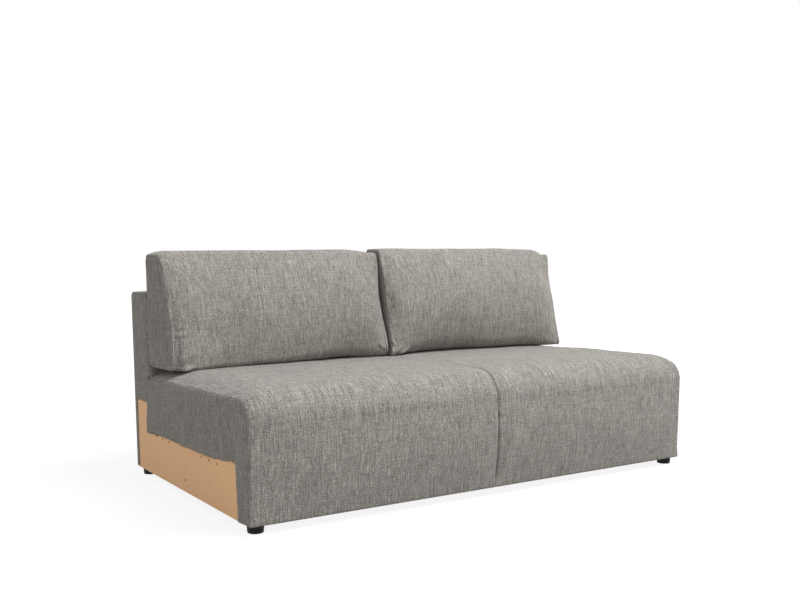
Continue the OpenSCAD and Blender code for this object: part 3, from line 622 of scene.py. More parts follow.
seatFolds = {  # slack folds beside each front corner: from and to as distances from the end seam and noseEnd
    "left": (((0, 62), (24, 36), 4.2, 8.5), ((14, 43), (60, 15), 4.4, 8.5), ((52, 20), (92, 10), 4.4, 3.0),
             ((1, -60), (30, -50), 3.4, 5.5), ((0, -73), (28, -66), 3.2, 5.5),
             ((0, -86), (24, -83), 3.2, 4.5)),
    "right": (((14, -6), (56, -30), 4.6, 2.6), ((12, 20), (50, 4), 5.0, 1.2)),
}
for side in sides:
    makeSeatCover(side)
print("seat covers made")


# Foam under each seat cover, and the thinner foam on the front board
def makeSeatFoam(side):
    path = seatPath()
    deck, board = sofa["deckHeight"], sofa["boardFrontY"]
    for name, rows, flatten, axis in (
            ("seatFoam", path[path[:, 1] > deck + seat["hemRadius"]], deck, 2),
            ("frontPad", path[(path[:, 2] == 0) & (path[:, 1] < deck - seat["hemRadius"])], board, 1)):
        grid, arc = seatGrid(rows, seat["foamInset"] if name == "seatFoam" else 4.0, lambda x, arc: 0.0)
        grid[:, :, 0] *= sides[side]
        under = grid.copy()
        under[:, :, axis] = flatten
        if name == "frontPad":
            under[:, :, 1] = np.maximum(under[:, :, 1], grid[:, :, 1] + 1)
        faces = closedSkin(grid)
        if side == "left":
            faces = faces[:, ::-1]
        points = np.concatenate([grid.reshape(-1, 3), under.reshape(-1, 3)])
        piece = meshFrom(name + side.capitalize(), points, faces, points[:, :2], cutFoam)
        node = "seat_foam" if name == "seatFoam" else "front_pad"
        dressPiece(piece, "root", [f"{node}_{side}"])


for side in sides:
    makeSeatFoam(side)
print("seat foam made")


# Back cushions: a wedge-shaped sleeve sewn to two end panels. Their full, crowned shape is worked
# out here from the sizes below, with no cloth simulation.
cushion = {
    "height": 383.0,
    "baseDepth": 195.0,
    "topDepth": 100.0,
    "crown": 36.0,
    "endCrown": 5.0,
    "nearCrown": {"left": 15.0, "right": 3.0},
    "nearInset": 6.0,
    "endTaper": {"left": 17.0, "right": 26.0},
    "gap": 4.0,
    "endGap": 3.0,
    "upperRadius": (15.0, 44.0),
    "rearRadius": (11.0, 24.0),
    "zipRadius": 30.0,
    "clear": 0.3,
    "endRoll": 88.0,  # length at each end over which the front rolls back to the seam
    "rollPower": 2.4,
    "gapLean": (2.0, -5.0),  # where the gap between the cushions lies, at the bottom and at the top
    "rise": {  # of the top above the height, along the cushion from the middle of the sofa
        "left": ((9, 13), (55, 20), (100, 25), (145, 27), (200, 26.5), (315, 25.5), (400, 23.5), (600, 23.3),
                 (700, 22.8), (760, 22.3), (800, 21.8), (839, 21.8), (853, 20.2), (864, 17.6), (872, 15.2),
                 (879, 12.6), (883, 10.2), (886.5, 7.2), (889, 3), (891, -3)),
        "right": ((5, 25), (20, 28), (48, 30), (84, 31), (180, 30), (330, 29.6), (600, 31), (700, 29.5),
                  (755, 28.6), (812, 26.5), (840, 19), (868, 4))},
    "endPull": {  # how far the far seam is drawn in, by share of the height
        "left": ((0, 0), (0.15, 3), (0.5, 4.5), (0.75, 6.5), (0.9, 7), (1, 3)),
        "right": ((0, 0), (0.1, 6), (0.3, 12.5), (0.5, 15.5), (0.65, 21.5), (0.8, 25), (0.93, 22), (1, 14))},
    "nearPull": {
        "left": ((0, -2), (0.08, 2), (0.2, 9), (0.35, 14), (0.47, 16), (0.66, 18), (0.8, 13), (0.93, 4),
                 (1.05, -2)),
        "right": ((0, -4), (0.25, -5), (0.5, -5), (0.7, -4), (0.9, -2), (1, -3))},
    "endBulge": {  # share of the crown that is left at each end, along the cushion
        "left": ((9, 0), (120, 0), (700, 0.2), (800, 0.38), (900, 0.42)),
        "right": ((9, 0), (120, 0), (700, 0), (900, 0.1))},
    "lowerRadius": {  # of the lower front edge, along the cushion from the middle of the sofa
        "left": ((9, 40), (60, 50), (200, 66), (320, 51), (450, 34), (580, 26), (700, 22), (800, 16),
                 (900, 12)),
        "right": ((9, 15), (35, 26), (105, 60), (180, 80), (260, 91), (370, 92), (430, 80), (480, 68),
                  (600, 66), (680, 69), (740, 62), (790, 44), (830, 24), (900, 12))},
    "lowerShift": {"left": 22.0, "right": 6.0},  # the far lower corner juts forward
    "seamDip": (1.7, 5.0, 2.8),  # depth, distance from the seam and width
    "seamRidge": (2.3, 1.6),  # height and width
    "puckers": 26,
    "puckerSpan": (20.0, 340.0),  # height of the lowest pucker, and how far up they go on
    "puckerReach": (12, 30),
    "unevenness": (1.6, 190),  # height and size of the front's soft waves
    "coreInset": 8.0,
    "creaseWidth": 1.35,  # multiplies the widths and depths of the creases listed below
    "creaseDepth": 2.0,
}
cushionRearY = sofa["backY"] - cushion["clear"]
cushionLowZ = sofa["seatHeight"] + cushion["clear"]
sleeveLength = 873  # of a cushion's sleeve from seam to seam
cushionLean = math.degrees(math.atan((cushion["baseDepth"] - cushion["topDepth"]) / cushion["height"]))
frontAngle = 180 - cushionLean
frontSteps = 46


def ray(a):
    return np.array([math.cos(math.radians(a)), math.sin(math.radians(a))])


def arcMiddle(corner, a1, a2, r):
    n = ray(a1) + ray(a2)
    return np.array(corner) - r * n / (1 + ray(a1) @ ray(a2))


def arcPoints(middle, r, a1, a2, steps):
    return [middle + r * ray(a) for a in np.linspace(a1, a2, steps + 1)]


def between(p, q, steps):
    return [p + (q - p) * i / steps for i in range(1, steps)]


def cushionRing(side, x, share, inset):
    # the sleeve's outline in Y and Z, from the zip up the rear, over the top and down the front
    c = cushion
    fromEnd = min(share, 1 - share) * sleeveLength
    fullness = 1 - (1 - min(fromEnd / c["endRoll"], 1)) ** c["rollPower"]
    topZ = cushionLowZ + c["height"] + np.interp(x, *zip(*c["rise"][side]))
    lowR = np.interp(x, *zip(*c["lowerRadius"][side]))
    topR = c["upperRadius"][0] + (c["upperRadius"][1] - c["upperRadius"][0]) * fullness
    zipMid = arcMiddle((cushionRearY, cushionLowZ), 0, 270, c["zipRadius"])
    rearR = c["rearRadius"][0] + (c["rearRadius"][1] - c["rearRadius"][0]) * fullness
    rearMid = arcMiddle((cushionRearY, topZ), 0, 90, rearR)
    topMid = arcMiddle((cushionRearY - c["topDepth"], topZ), 90, frontAngle, topR)
    lowMid = arcMiddle((cushionRearY - c["baseDepth"], cushionLowZ), frontAngle, 270, lowR)
    zipUpper = arcPoints(zipMid, c["zipRadius"] - inset, 315, 360, 6)
    rearArc = arcPoints(rearMid, rearR - inset, 0, 90, 7)
    endShare = np.interp(x, *zip(*c["endBulge"][side]))
    crown = c["crown"] * (endShare + (1 - endShare) * fullness)
    span = np.linalg.norm(lowMid - topMid)
    lean = math.atan(4 * crown / span)
    crown += (topR + lowR) / 2 * (1 - math.cos(lean))
    topArc = arcPoints(topMid, topR - inset, 90, frontAngle - math.degrees(lean), 10)
    lowArc = arcPoints(lowMid, lowR - inset, frontAngle + math.degrees(lean), 270, 14)
    zipLower = arcPoints(zipMid, c["zipRadius"] - inset, 270, 315, 6)
    front = []
    for i in range(1, frontSteps):
        t = i / frontSteps
        front.append(topArc[-1] + (lowArc[0] - topArc[-1]) * t + 4 * t * (1 - t) * crown * ray(frontAngle))
    ring = zipUpper + between(zipUpper[-1], rearArc[0], 34) + rearArc + between(rearArc[-1], topArc[0], 8)
    ring = np.array(ring + topArc + front + lowArc + between(lowArc[-1], zipLower[0], 16) + zipLower)
    low = 1 - ease((ring[:, 1] - cushionLowZ - 10) / 150)
    ahead = ease((cushionRearY - 60 - ring[:, 0]) / 60)
    ring[:, 0] -= c["lowerShift"][side] * ease((x - 690) / 130) * ease((874 - x) / 16) * low * ahead
    return ring


def seamNear(side, y, z):
    # the near end seam, which follows the lean of the gap between the cushions
    low, high = cushion["gapLean"]
    height = (z - cushionLowZ) / cushion["height"]
    forward = np.clip((cushionRearY - y) / cushion["baseDepth"], 0, 1)
    pull = np.interp(height, *zip(*cushion["nearPull"][side])) * (0.3 + 0.7 * ease(forward * 1.6))
    lean = low + (high - low) * height
    return cushion["gap"] / 2 + cushion["nearInset"] + sides[side] * lean + pull


def seamFar(side, y, z):
    c = cushion
    height = np.clip((z - cushionLowZ) / c["height"], 0, 1)
    forward = np.clip((cushionRearY - y) / c["baseDepth"], 0, 1)
    pull = np.interp(height, *zip(*c["endPull"][side])) * (0.35 + 0.65 * ease(forward * 1.6))
    return sofa["halfWidth"] - c["endGap"] - c["endTaper"][side] * forward - pull


def sleevePoints(side, shares, inset):
    rows = []
    reach = sofa["halfWidth"] - 18.0
    for share in shares:
        ring = cushionRing(side, 9 + share * reach, share, inset)
        y, z = ring.T
        near, far = seamNear(side, y, z) + inset, seamFar(side, y, z) - inset
        rows.append(np.stack([near + (far - near) * share, y, z], -1))
    return np.array(rows)


def sleeveShares():
    near = np.array([0, 1.5, 3, 5, 7.5, 10.5, 14, 18, 23, 29, 36, 43.5])
    middle = np.linspace(51, 822, 100)
    return np.concatenate([near, middle, sleeveLength - near[::-1]]) / sleeveLength


panelShares = [0.012, 0.03, 0.055, 0.09, 0.14, 0.21, 0.3, 0.41, 0.54, 0.68, 0.84]


def cushionMesh(side, inset=0.0):
    # the sleeve, then each end panel as rings towards its middle point
    shares = sleeveShares()
    sleeve = sleevePoints(side, shares, inset)
    rows, size = sleeve.shape[:2]
    around = pathLength(sleeve[rows // 2, :, 1:])[:, 0]
    points = [sleeve.reshape(-1, 3)]
    along = np.broadcast_to(shares[:, None] * sleeveLength, (rows, size))
    coords = [np.stack([along, np.broadcast_to(around, (rows, size))], -1).reshape(-1, 2)]
    quads = gridFaces(rows, size, turn=True).reshape(-1, 4)
    seamWalls = np.arange(rows - 1)[:, None] * size + np.array([[size - 1, 0]])  # the ring closes on itself
    closing = np.stack([seamWalls[:, 1] + size, seamWalls[:, 1], seamWalls[:, 0], seamWalls[:, 0] + size], -1)
    faces = [quads, closing[:, ::-1]]
    start = rows * size
    ends = ((0, -1, cushion["nearCrown"][side]), ((rows - 1) * size, 1, cushion["endCrown"]))
    for first, out, swell in ends:
        ring = points[0][first:first + size]
        middle = (ring.min(0) + ring.max(0)) / 2
        middle[0] = np.interp(middle[1], [ring[:, 1].min(), ring[:, 1].max()],
                              [ring[ring[:, 1].argmin(), 0], ring[ring[:, 1].argmax(), 0]])
        previous = first
        for t in panelShares:
            inner = ring + (middle - ring) * t
            inner[:, 0] += out * swell * (1 - (1 - t) ** 2.2)
            points.append(inner)
            coords.append(inner[:, 1:] + 1500)
            j = np.arange(size)
            k = (j + 1) % size
            band = np.stack([previous + j, previous + k, start + k, start + j], -1)
            faces.append(band[:, ::-1] if out > 0 else band)
            previous, start = start, start + size
        points.append([middle + [out * swell, 0, 0]])
        coords.append([middle[1:] + 1500])
        fan = np.stack([previous + j, previous + k, np.full(size, start)], -1)
        faces.append(fan[:, ::-1] if out > 0 else fan)
        start += 1
    points, coords = np.concatenate(points), np.concatenate(coords)
    if side == "left":
        points[:, 0] *= -1
        faces = [group[:, ::-1] for group in faces]
    return points, [f for group in faces for f in group], coords, rows, size


def settleCushion(piece, side):
    # the cushion is flat where it rests on the seat and against the back frame, and clear of its neighbour
    p = readPoints(piece) / mm
    p[:, 2] = np.maximum(p[:, 2], cushionLowZ)
    p[:, 1] = np.minimum(p[:, 1], cushionRearY)
    across = np.clip(p[:, 0] * sides[side], None, sofa["halfWidth"] - 0.5)
    low, high = cushion["gapLean"]
    lean = low + (high - low) * (p[:, 2] - cushionLowZ) / cushion["height"]
    p[:, 0] = sides[side] * np.maximum(across, 1 + sides[side] * lean)
    writePoints(piece, p)


cushionFolds = {  # creases on the front, from and to as X and height above the seat, width and depth
    "left": (((868, 122), (797, 131), 3.4, 3.2), ((852, 147), (812, 147), 3.0, 1.6),
             ((870, 236), (846, 240), 3.0, 1.4), ((869, 300), (850, 306), 3.0, 1.2),
             ((847, 2), (806, 20), 4.6, 5.5), ((862, 30), (842, 52), 4.0, 1.8),
             ((870, 366), (848, 357), 4.0, 3.6), ((866, 348), (848, 338), 3.0, 1.6),
             ((24, 30), (58, 60), 4.0, 2.0), ((14, 340), (44, 352), 3.4, 1.8)),
    "right": (((6, 58), (24, 36), 3.4, 4.0), ((44, 8), (108, 31), 5.0, 5.0), ((20, 14), (64, 44), 5.0, 2.0),
              ((14, 120), (40, 134), 3.2, 1.6), ((12, 344), (40, 356), 3.4, 2.2),
              ((858, 344), (826, 356), 3.2, 1.8), ((866, 24), (830, 52), 4.2, 2.6),
              ((850, 150), (826, 158), 3.0, 1.0)),
}


def creaseCushion(piece, side, rows, size):
    # seam valleys and ridges, then creases, pressed into the finished sleeve along its normals
    p, normals = readPoints(piece) / mm, readPoints(piece, "normal")
    lift = np.zeros(len(p))
    station = np.repeat(sleeveShares() * sleeveLength, size)
    fromSeam = np.minimum(station, sleeveLength - station)
    c = cushion
    onSleeve = slice(0, rows * size)
    ridge, ridgeWidth = c["seamRidge"]
    dip, dipPlace, dipWidth = c["seamDip"]
    lift[onSleeve] = (ridge * np.exp(-(fromSeam / ridgeWidth) ** 2)
                      - dip * np.exp(-((fromSeam - dipPlace) / dipWidth) ** 2))
    across, height = np.abs(p[:, 0]), p[:, 2] - cushionLowZ
    facing = ease((cushionRearY - 45 - p[:, 1]) / 30)
    sleeveOnly = np.zeros(len(p))
    sleeveOnly[onSleeve] = ease(fromSeam / 4)
    draw = np.random.default_rng(71 if side == "left" else 72)
    lowest, span = c["puckerSpan"]
    for k in range(c["puckers"]):  # small puckers along both end seams
        high = lowest + span * (k + draw.uniform(0.1, 0.9)) / c["puckers"]
        far = k % 2 == 0
        reach = draw.uniform(*c["puckerReach"])
        x0, x1 = (870, 870 - reach) if far else (9, 9 + reach)
        end = (x1, high + draw.uniform(-6, 6))
        depth = draw.uniform(0.3, 0.9)
        lift += facing * sleeveOnly * segmentCrease(across, height, (x0, high), end, 2.2, depth)
    for start, end, width, depth in cushionFolds[side]:
        lift += facing * sleeveOnly * segmentCrease(across, height, start, end, width * c["creaseWidth"],
                                                    depth * c["creaseDepth"])
    seed = 51 if side == "left" else 52
    high, size = c["unevenness"]
    lift += sleeveOnly * facing * high * waves(across, height, seed, size)
    p += normals * lift[:, None]
    writePoints(piece, p)


def makeCushion(side):
    points, faces, coords, rows, size = cushionMesh(side)
    coords[:, 0] *= sides[side]
    piece = meshFrom(f"cushionCover{side.capitalize()}", points, faces, coords, wovenCloth)
    creaseCushion(piece, side, rows, size)
    settleCushion(piece, side)
    addSubdivision(piece)
    dressPiece(piece, f"{side}_cushion", [f"cushion_cover_{side}"])
    points, faces, coords, rows, size = cushionMesh(side, cushion["coreInset"])
    core = meshFrom(f"cushionCore{side.capitalize()}", points, faces, coords, cutFoam)
    dressPiece(core, f"{side}_cushion", [f"cushion_core_{side}"])


for side in sides:
    makeCushion(side)
print("back cushions made")


# Zips at the lower rear edge of the cushions: a coil sewn on a woven tape
zipper = {
    "tape": 1.2,
    "halfWidth": 6.9,
    "pitch": 2.4,  # the coil's real pitch is about 1.2 mm, drawn at twice that so that its turns show
    "coilRadius": 1.7,
    "wire": 0.45,
    "turnPoints": 8,
    "middle": 4.2,
}


def makeZip(side):
    low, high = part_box(f"cushion_zip_{side}")
    x0, x1 = sorted((abs(low[0]) / mm, abs(high[0]) / mm))
    reach = cushion["zipRadius"] * math.cos(math.radians(15))
    middle = np.array([cushionRearY - cushion["zipRadius"], cushionLowZ + cushion["zipRadius"]])
    out, along = ray(315), ray(45)
    z, edge, back = zipper, zipper["halfWidth"], -zipper["tape"]
    profile = [(-edge, 0), (-z["middle"], 0.15), (-1, 0.0), (1, 0.0), (z["middle"], 0.15), (edge, 0),
               (edge, back), (0, back), (-edge, back), (-edge, 0)]
    rows = []
    for x in np.linspace(x0, x1, 180):
        rows.append([[x, *(middle + out * (reach + h) + along * w)] for w, h in profile])
    grid = np.array(rows)
    grid[:, :, 0] *= sides[side]
    faces = gridFaces(*grid.shape[:2], turn=(side == "left")).reshape(-1, 4)
    points = grid.reshape(-1, 3)
    tape = meshFrom(f"zipTape{side.capitalize()}", points, faces, points[:, :2], wovenTape)
    dressPiece(tape, f"{side}_cushion", [f"cushion_zip_{side}"])
    turns = (x1 - x0 - 12) / z["pitch"]
    steps = int(turns * z["turnPoints"])
    curve = bpy.data.curves.new(f"zipCoil{side.capitalize()}", "CURVE")
    curve.dimensions, curve.bevel_depth, curve.bevel_resolution = "3D", z["wire"] * mm, 1
    line = curve.splines.new("POLY")
    line.points.add(steps)
    for i in range(steps + 1):
        a = 2 * math.pi * i / z["turnPoints"]
        x = sides[side] * (x0 + 6 + z["pitch"] * i / z["turnPoints"])
        spot = middle + out * (reach + 0.4 + z["coilRadius"] * math.sin(a) * 0.8)
        spot = spot + along * (z["coilRadius"] * math.cos(a))
        line.points[i].co = (x * mm, spot[0] * mm, spot[1] * mm, 1)
    curve.materials.append(polyesterCoil)
    coil = bpy.data.objects.new(curve.name, curve)
    bpy.context.scene.collection.objects.link(coil)
    dressPiece(coil, f"{side}_cushion", [])


for side in sides:
    makeZip(side)
print("zips made")


# End fabric: cloth stapled to each end board, with a wavy raw edge that frays
endFabric = {
    "cutZ": 171.0,
    "cutRise": 32.0,
    "cutShares": ((0, 0), (0.06, 0.12), (0.16, 0.27), (0.22, 0.37), (0.31, 0.39), (0.45, 0.32), (0.54, 0.38),
                  (0.65, 0.41), (0.75, 0.46), (0.89, 0.75), (0.965, 1), (0.995, 0.85)),
    "rearLean": 35.0,
    "stripWidth": 92.0,
    "stripLean": 10.0,
    "stripDrop": 16.0,
    "puff": 2.6,
    "grain": 8.0,
    "rims": (2.0, 4.2, 7.0),  # extra rows of points beside the edges, for seams and ridges
    "thickness": 1.2,
    "fraySpace": 2.1,
    "frayLength": (2.0, 5.5),
    "frayRadii": (0.42, 0.36, 0.2),  # at a yarn's root, middle and tip
    "puffRun": (26, 50),  # over which the cloth rises from its seam and from its raw edge
    "seamDip": (1.4, 2.2),  # depth and width of the dip at the seam
    "rawLift": (0.9, 5),  # height and width of the raw edge's curl
    "unevenness": (0.7, 20, 120),  # height, run from the edges and size
}


def smoothLine(points, step):
    # a polyline through points, evenly split into lengths of about step
    points = np.array(points, float)
    length = np.concatenate([[0], np.cumsum(np.linalg.norm(np.diff(points, axis=0), axis=1))])
    places = np.linspace(0, length[-1], max(2, int(length[-1] / step) + 1))
    return np.stack([np.interp(places, length, points[:, k]) for k in range(points.shape[1])], -1)


def raggedLine(points, step, seed, amount=0.7):
    line = smoothLine(points, step)
    draw = np.random.default_rng(seed)
    rough = draw.uniform(-amount, amount, line.shape)
    rough[[0, -1]] = 0
    return line + rough + 0.8 * np.stack([0 * line[:, 0], waves(line[:, 0], line[:, 1], seed, 45)], -1)


def flatCloth(name, side, outline, bulge, material=None):
    # a sheet cut to an outline in Y and Z, standing at the end plane; bulge(y, z) lifts it outwards
    outline = np.array(outline)
    low, high = outline.min(0), outline.max(0)
    step = endFabric["grain"]
    ys, zs = np.meshgrid(*(np.arange(low[k] + step / 2, high[k], step) for k in (0, 1)))
    inner = np.stack([ys.ravel(), zs.ravel()], -1)
    along = np.roll(outline, -1, axis=0) - np.roll(outline, 1, axis=0)
    inward = np.stack([-along[:, 1], along[:, 0]], -1) / np.maximum(np.hypot(*along.T), 1e-6)[:, None]
    turning = np.sum(outline[:, 0] * np.roll(outline[:, 1], -1) - np.roll(outline[:, 0], -1) * outline[:, 1])
    rings = [outline + inward * d * (1 if turning > 0 else -1) for d in endFabric["rims"]]
    rings = [ring[::2] if d > 5 else ring for ring, d in zip(rings, endFabric["rims"])]
    rims = np.concatenate(rings)
    reach = np.concatenate([np.full(len(ring), d) for ring, d in zip(rings, endFabric["rims"])])
    inner = np.concatenate([rims, inner])
    clear = np.full(len(inner) - len(rims), endFabric["rims"][-1] + step * 0.4)
    wanted = np.concatenate([reach * 0.9, clear])
    near = np.min(np.linalg.norm(inner[:, None, :] - outline[None, :, :], axis=2), axis=1)
    inner = inner[near > wanted]
    spots = [Vector(p) for p in np.concatenate([outline, inner])]
    found = delaunay_2d_cdt(spots, [], [list(range(len(outline)))], 1, 1e-4)
    flat = np.array([tuple(v) for v in found[0]])
    faces = [f if side == "right" else f[::-1] for f in found[2]]
    x = sofa["halfWidth"] - 0.7 + bulge(flat[:, 0], flat[:, 1])
    points = np.column_stack([sides[side] * x, flat])
    piece = meshFrom(name, points, faces, flat + 300, material or wovenCloth)
    addThickness(piece, endFabric["thickness"], 0)
    size = high - low
    min(flatArea(points, faces), size[0] * size[1] * mm * mm)
    return piece


def nearest(y, z, line):
    # distance from each point to the nearest point of a line in Y and Z
    return np.min(np.hypot(y[:, None] - line[:, 0], z[:, None] - line[:, 1]), axis=1)


def makeFray(name, side, edges, seed):
    # short loose yarns along the raw edges; each is a thin three-sided tube
    draw = np.random.default_rng(seed)
    points, faces = [], []
    for edge, outward in edges:
        line = smoothLine(edge, endFabric["fraySpace"])
        for spot in line:
            length = draw.uniform(*endFabric["frayLength"])
            lean = np.array(outward) + draw.normal(0, 0.35, 2)
            curl = draw.uniform(0.2, 1.2)
            start = len(points)
            for k, t in enumerate((0, 0.5, 1)):
                centre = spot + lean * length * t
                radius = endFabric["frayRadii"][k]
                for turn in range(3):
                    a = 2 * math.pi * turn / 3
                    points.append([sides[side] * (sofa["halfWidth"] - 0.5 + curl * t + radius * math.cos(a)),
                                   centre[0] + radius * math.sin(a) * -lean[1],
                                   centre[1] + radius * math.sin(a) * lean[0]])
                    if k:
                        a0, a1 = start + 3 * k - 3 + turn, start + 3 * k - 3 + (turn + 1) % 3
                        faces.append([a0, a1, a1 + 3, a0 + 3])
            faces.append([start + 6, start + 7, start + 8])
    points = np.array(points)
    return meshFrom(name, points, faces, points[:, 1:], frayedYarn)


def endEdges():
    # the raw edges as lines from the rear to the front, then down behind the strip
    e = endFabric
    rearY, stripY = sofa["backY"] + e["rearLean"], sofa["frontY"] + e["stripWidth"]
    cut = [(rearY + (stripY - rearY) * s, e["cutZ"] + e["cutRise"] * h) for s, h in e["cutShares"]]
    strip = [(stripY, e["cutZ"] + e["cutRise"] - e["stripDrop"]),
             (stripY - e["stripLean"], sofa["footHeight"] + 0.5)]
    return cut, strip


def makeEndFabric(side):
    path = seatPath()
    seam = endSeamLine(path)[1:]
    cut, strip = endEdges()
    cutLine, stripLine = raggedLine(cut, 3.0, 61), raggedLine([cut[-1]] + strip, 3.0, 62)
    rearEdge = smoothLine([seam[-1], cut[0]], 8)[1:-1]
    seamLine = smoothLine(seam, 5)
    outline = np.concatenate([seamLine, rearEdge, cutLine, stripLine[1:]])
    raw = np.concatenate([cutLine, stripLine])
    draw = np.random.default_rng(41 if side == "left" else 42)
    gathers = [(seamLine[i], draw.uniform(20, 46), draw.uniform(0.8, 1.7)) for i in range(66, 96, 3)]

    e = endFabric
    (seamRun, rawRun), (dip, dipWidth), (curl, curlWidth) = e["puffRun"], e["seamDip"], e["rawLift"]
    uneven, unevenRun, unevenSize = e["unevenness"]

    def bulge(y, z):
        toSeam, toRaw = nearest(y, z, seamLine), nearest(y, z, raw)
        lift = e["puff"] * ease(toSeam / seamRun) * ease(toRaw / rawRun)
        lift = lift - dip * np.exp(-(toSeam / dipWidth) ** 2)
        lift = lift + curl * np.exp(-(toRaw / curlWidth) ** 2) * (0.6 + 0.6 * waves(y, z, 63, 36))
        inside = ease(toSeam / unevenRun) * ease(toRaw / unevenRun)
        lift = lift + uneven * inside * waves(y, z * 0.6, 64, unevenSize)
        for spot, reach, depth in gathers:
            inward = np.array([-300.0, 250.0]) - spot
            end = spot + inward / np.linalg.norm(inward) * reach
            lift = lift + segmentCrease(y, z, spot, end, 2.4, depth)
        return lift

    name = f"endFabric{side.capitalize()}"
    piece = flatCloth(name, side, outline, bulge)
    dressPiece(piece, "root", [f"end_fabric_{side}"])
    fray = makeFray(f"endFray{side.capitalize()}", side, [(cutLine, (0, -1)), (stripLine, (1, 0))], 65)
    dressPiece(fray, "root", [])


for side in sides:
    makeEndFabric(side)
print("end fabric made")


# Back frame: wadding, and a cover that goes up the front, over the top, down the rear and under
# the base, with a flap onto each bare end; a separate panel covers each end above its cut edge
backFrame = {
    "edgeRadius": 22.0,
    "endRadius": 6.0,
    "frontRadius": 14.0,  # of the corner between the front and each end
    "tuckZ": 353.0,
    "flap": 31.0,
    "flapTop": 282.0,
    "turnUnder": 20.0,
    "step": 9.0,
    "crown": 2.4,
    "waddingInset": 3.0,
    "waddingEnd": 9.0,
    "panelPuff": (1.4, 22, 40),  # height, and run from the seam and from the raw edge
    "panelDip": (0.9, 2.2),
    "panelWaves": (0.5, 20, 90),
    "panelCurl": (0.5, 5),
    "boardFrontY": 364.5,
    "boardRearY": 502.5,
    "boardTopZ": 656.5,
}


def backPath():
    # Y, Z and facing angle from the tuck behind the seat, over the top and down the rear
    b, s, r = backFrame, sofa, backFrame["edgeRadius"]
    pts = [(s["backY"], z, 0.0) for z in np.arange(b["tuckZ"], s["backHeight"] - r, b["step"])]
    pts += [(s["backY"] + r * (1 - math.cos(a)), s["backHeight"] - r * (1 - math.sin(a)), math.degrees(a))
            for a in np.linspace(0, math.pi / 2, 9)]
    pts += [(y, s["backHeight"], 90.0) for y in np.arange(s["backY"] + r + 7, s["rearY"] - r - 3, 8)]
    pts += [(s["rearY"] - r * (1 - math.sin(a)), s["backHeight"] - r * (1 - math.cos(a)),
             90 + math.degrees(a)) for a in np.linspace(0, math.pi / 2, 9)]
    low = s["footHeight"] + seat["hemRadius"]
    pts += [(s["rearY"], z, 180.0) for z in np.arange(s["backHeight"] - r - b["step"], low, -b["step"])]
    pts += [(s["rearY"] - seat["hemRadius"] * (1 - math.cos(a)), low - seat["hemRadius"] * math.sin(a),
             180 + math.degrees(a)) for a in np.linspace(0, math.pi / 2, 6)]
    pts += [(s["rearY"] - seat["hemRadius"] - 4, s["footHeight"], 270.0),
            (s["rearY"] - b["turnUnder"], s["footHeight"], 270.0)]
    return np.array(pts)


def endCorner(angle):
    # radius of the corner at the ends, by the facing angle of the cover there
    b = backFrame
    return b["endRadius"] + (b["frontRadius"] - b["endRadius"]) * ease((90 - angle) / 90)


def makeBackCover():
    b, half = backFrame, sofa["halfWidth"] - 0.2
    path = backPath()
    y, z, angle = (path[:, k][:, None] for k in range(3))
    v = pathLength(path)
    r = endCorner(angle)
    flat = (half - r) * np.concatenate([[-1], np.linspace(-0.995, 0.995, 190), [1]])
    turns = np.radians(np.linspace(0, 90, 7))[None, 1:]
    wrap = r + (b["flap"] - r) * np.linspace(0, 1, 5)[None, 1:]
    onEnd = np.full(wrap.shape, half)
    leftTurn, rightTurn = (-half + r - r * np.sin(turns))[:, ::-1], half - r + r * np.sin(turns)
    x = np.concatenate([-onEnd, leftTurn, flat, rightTurn, onEnd], 1)
    turned = r - r * np.cos(turns)
    fall = np.concatenate([wrap[:, ::-1], turned[:, ::-1], 0 * flat, turned, wrap], 1)
    inner = ease((half - np.abs(x)) / 90)
    spread = ease((z - 40) / 80) * ease(np.minimum(v, v[-1] - v) / 60)
    lift = b["crown"] * inner * spread + inner * spread * 1.1 * waves(x, v, 91, 260)
    for k in range(14):  # slight drag lines down from the top edge at the rear
        top, foot = (-820 + 127 * k, 505), (-835 + 131 * k, 640 + 23 * (k % 4))
        lift = lift + segmentCrease(x, v, top, foot, 9.0, 0.8) * inner
    lift = lift - fall
    points = np.stack([np.broadcast_to(x, lift.shape), *liftOff(y, z, angle, lift)], -1)
    rows, cols = lift.shape
    faces = gridFaces(rows, cols)
    onFlap = (path[:-1, 2] >= 180) & (path[:-1, 2] < 181) & (path[:-1, 1] <= b["flapTop"] + b["step"])
    keep = np.ones((rows - 1, cols - 1), bool)
    flapSteps = wrap.shape[1]
    for column in list(range(flapSteps)) + list(range(cols - 1 - flapSteps, cols - 1)):
        keep[:, column] = onFlap
    around = np.cumsum(np.hypot(np.diff(x[0]), np.diff(fall[0])))
    arc = np.concatenate([[-half - b["flap"] - 2], around])
    arc[1:] += arc[0]
    coords = np.stack([np.broadcast_to(arc, lift.shape), np.broadcast_to(-v, lift.shape)], -1)
    kept = faces[keep]
    used = np.unique(kept)
    renumber = np.full(rows * cols, -1)
    renumber[used] = np.arange(len(used))
    allPoints, allCoords = points.reshape(-1, 3)[used], coords.reshape(-1, 2)[used]
    piece = meshFrom("backCover", allPoints, renumber[kept], allCoords, wovenCloth)
    addThickness(piece, sofa["clothThickness"], -1)
    area = flatArea(allPoints, renumber[kept])
    dressPiece(piece, "root", ["back_cover"])


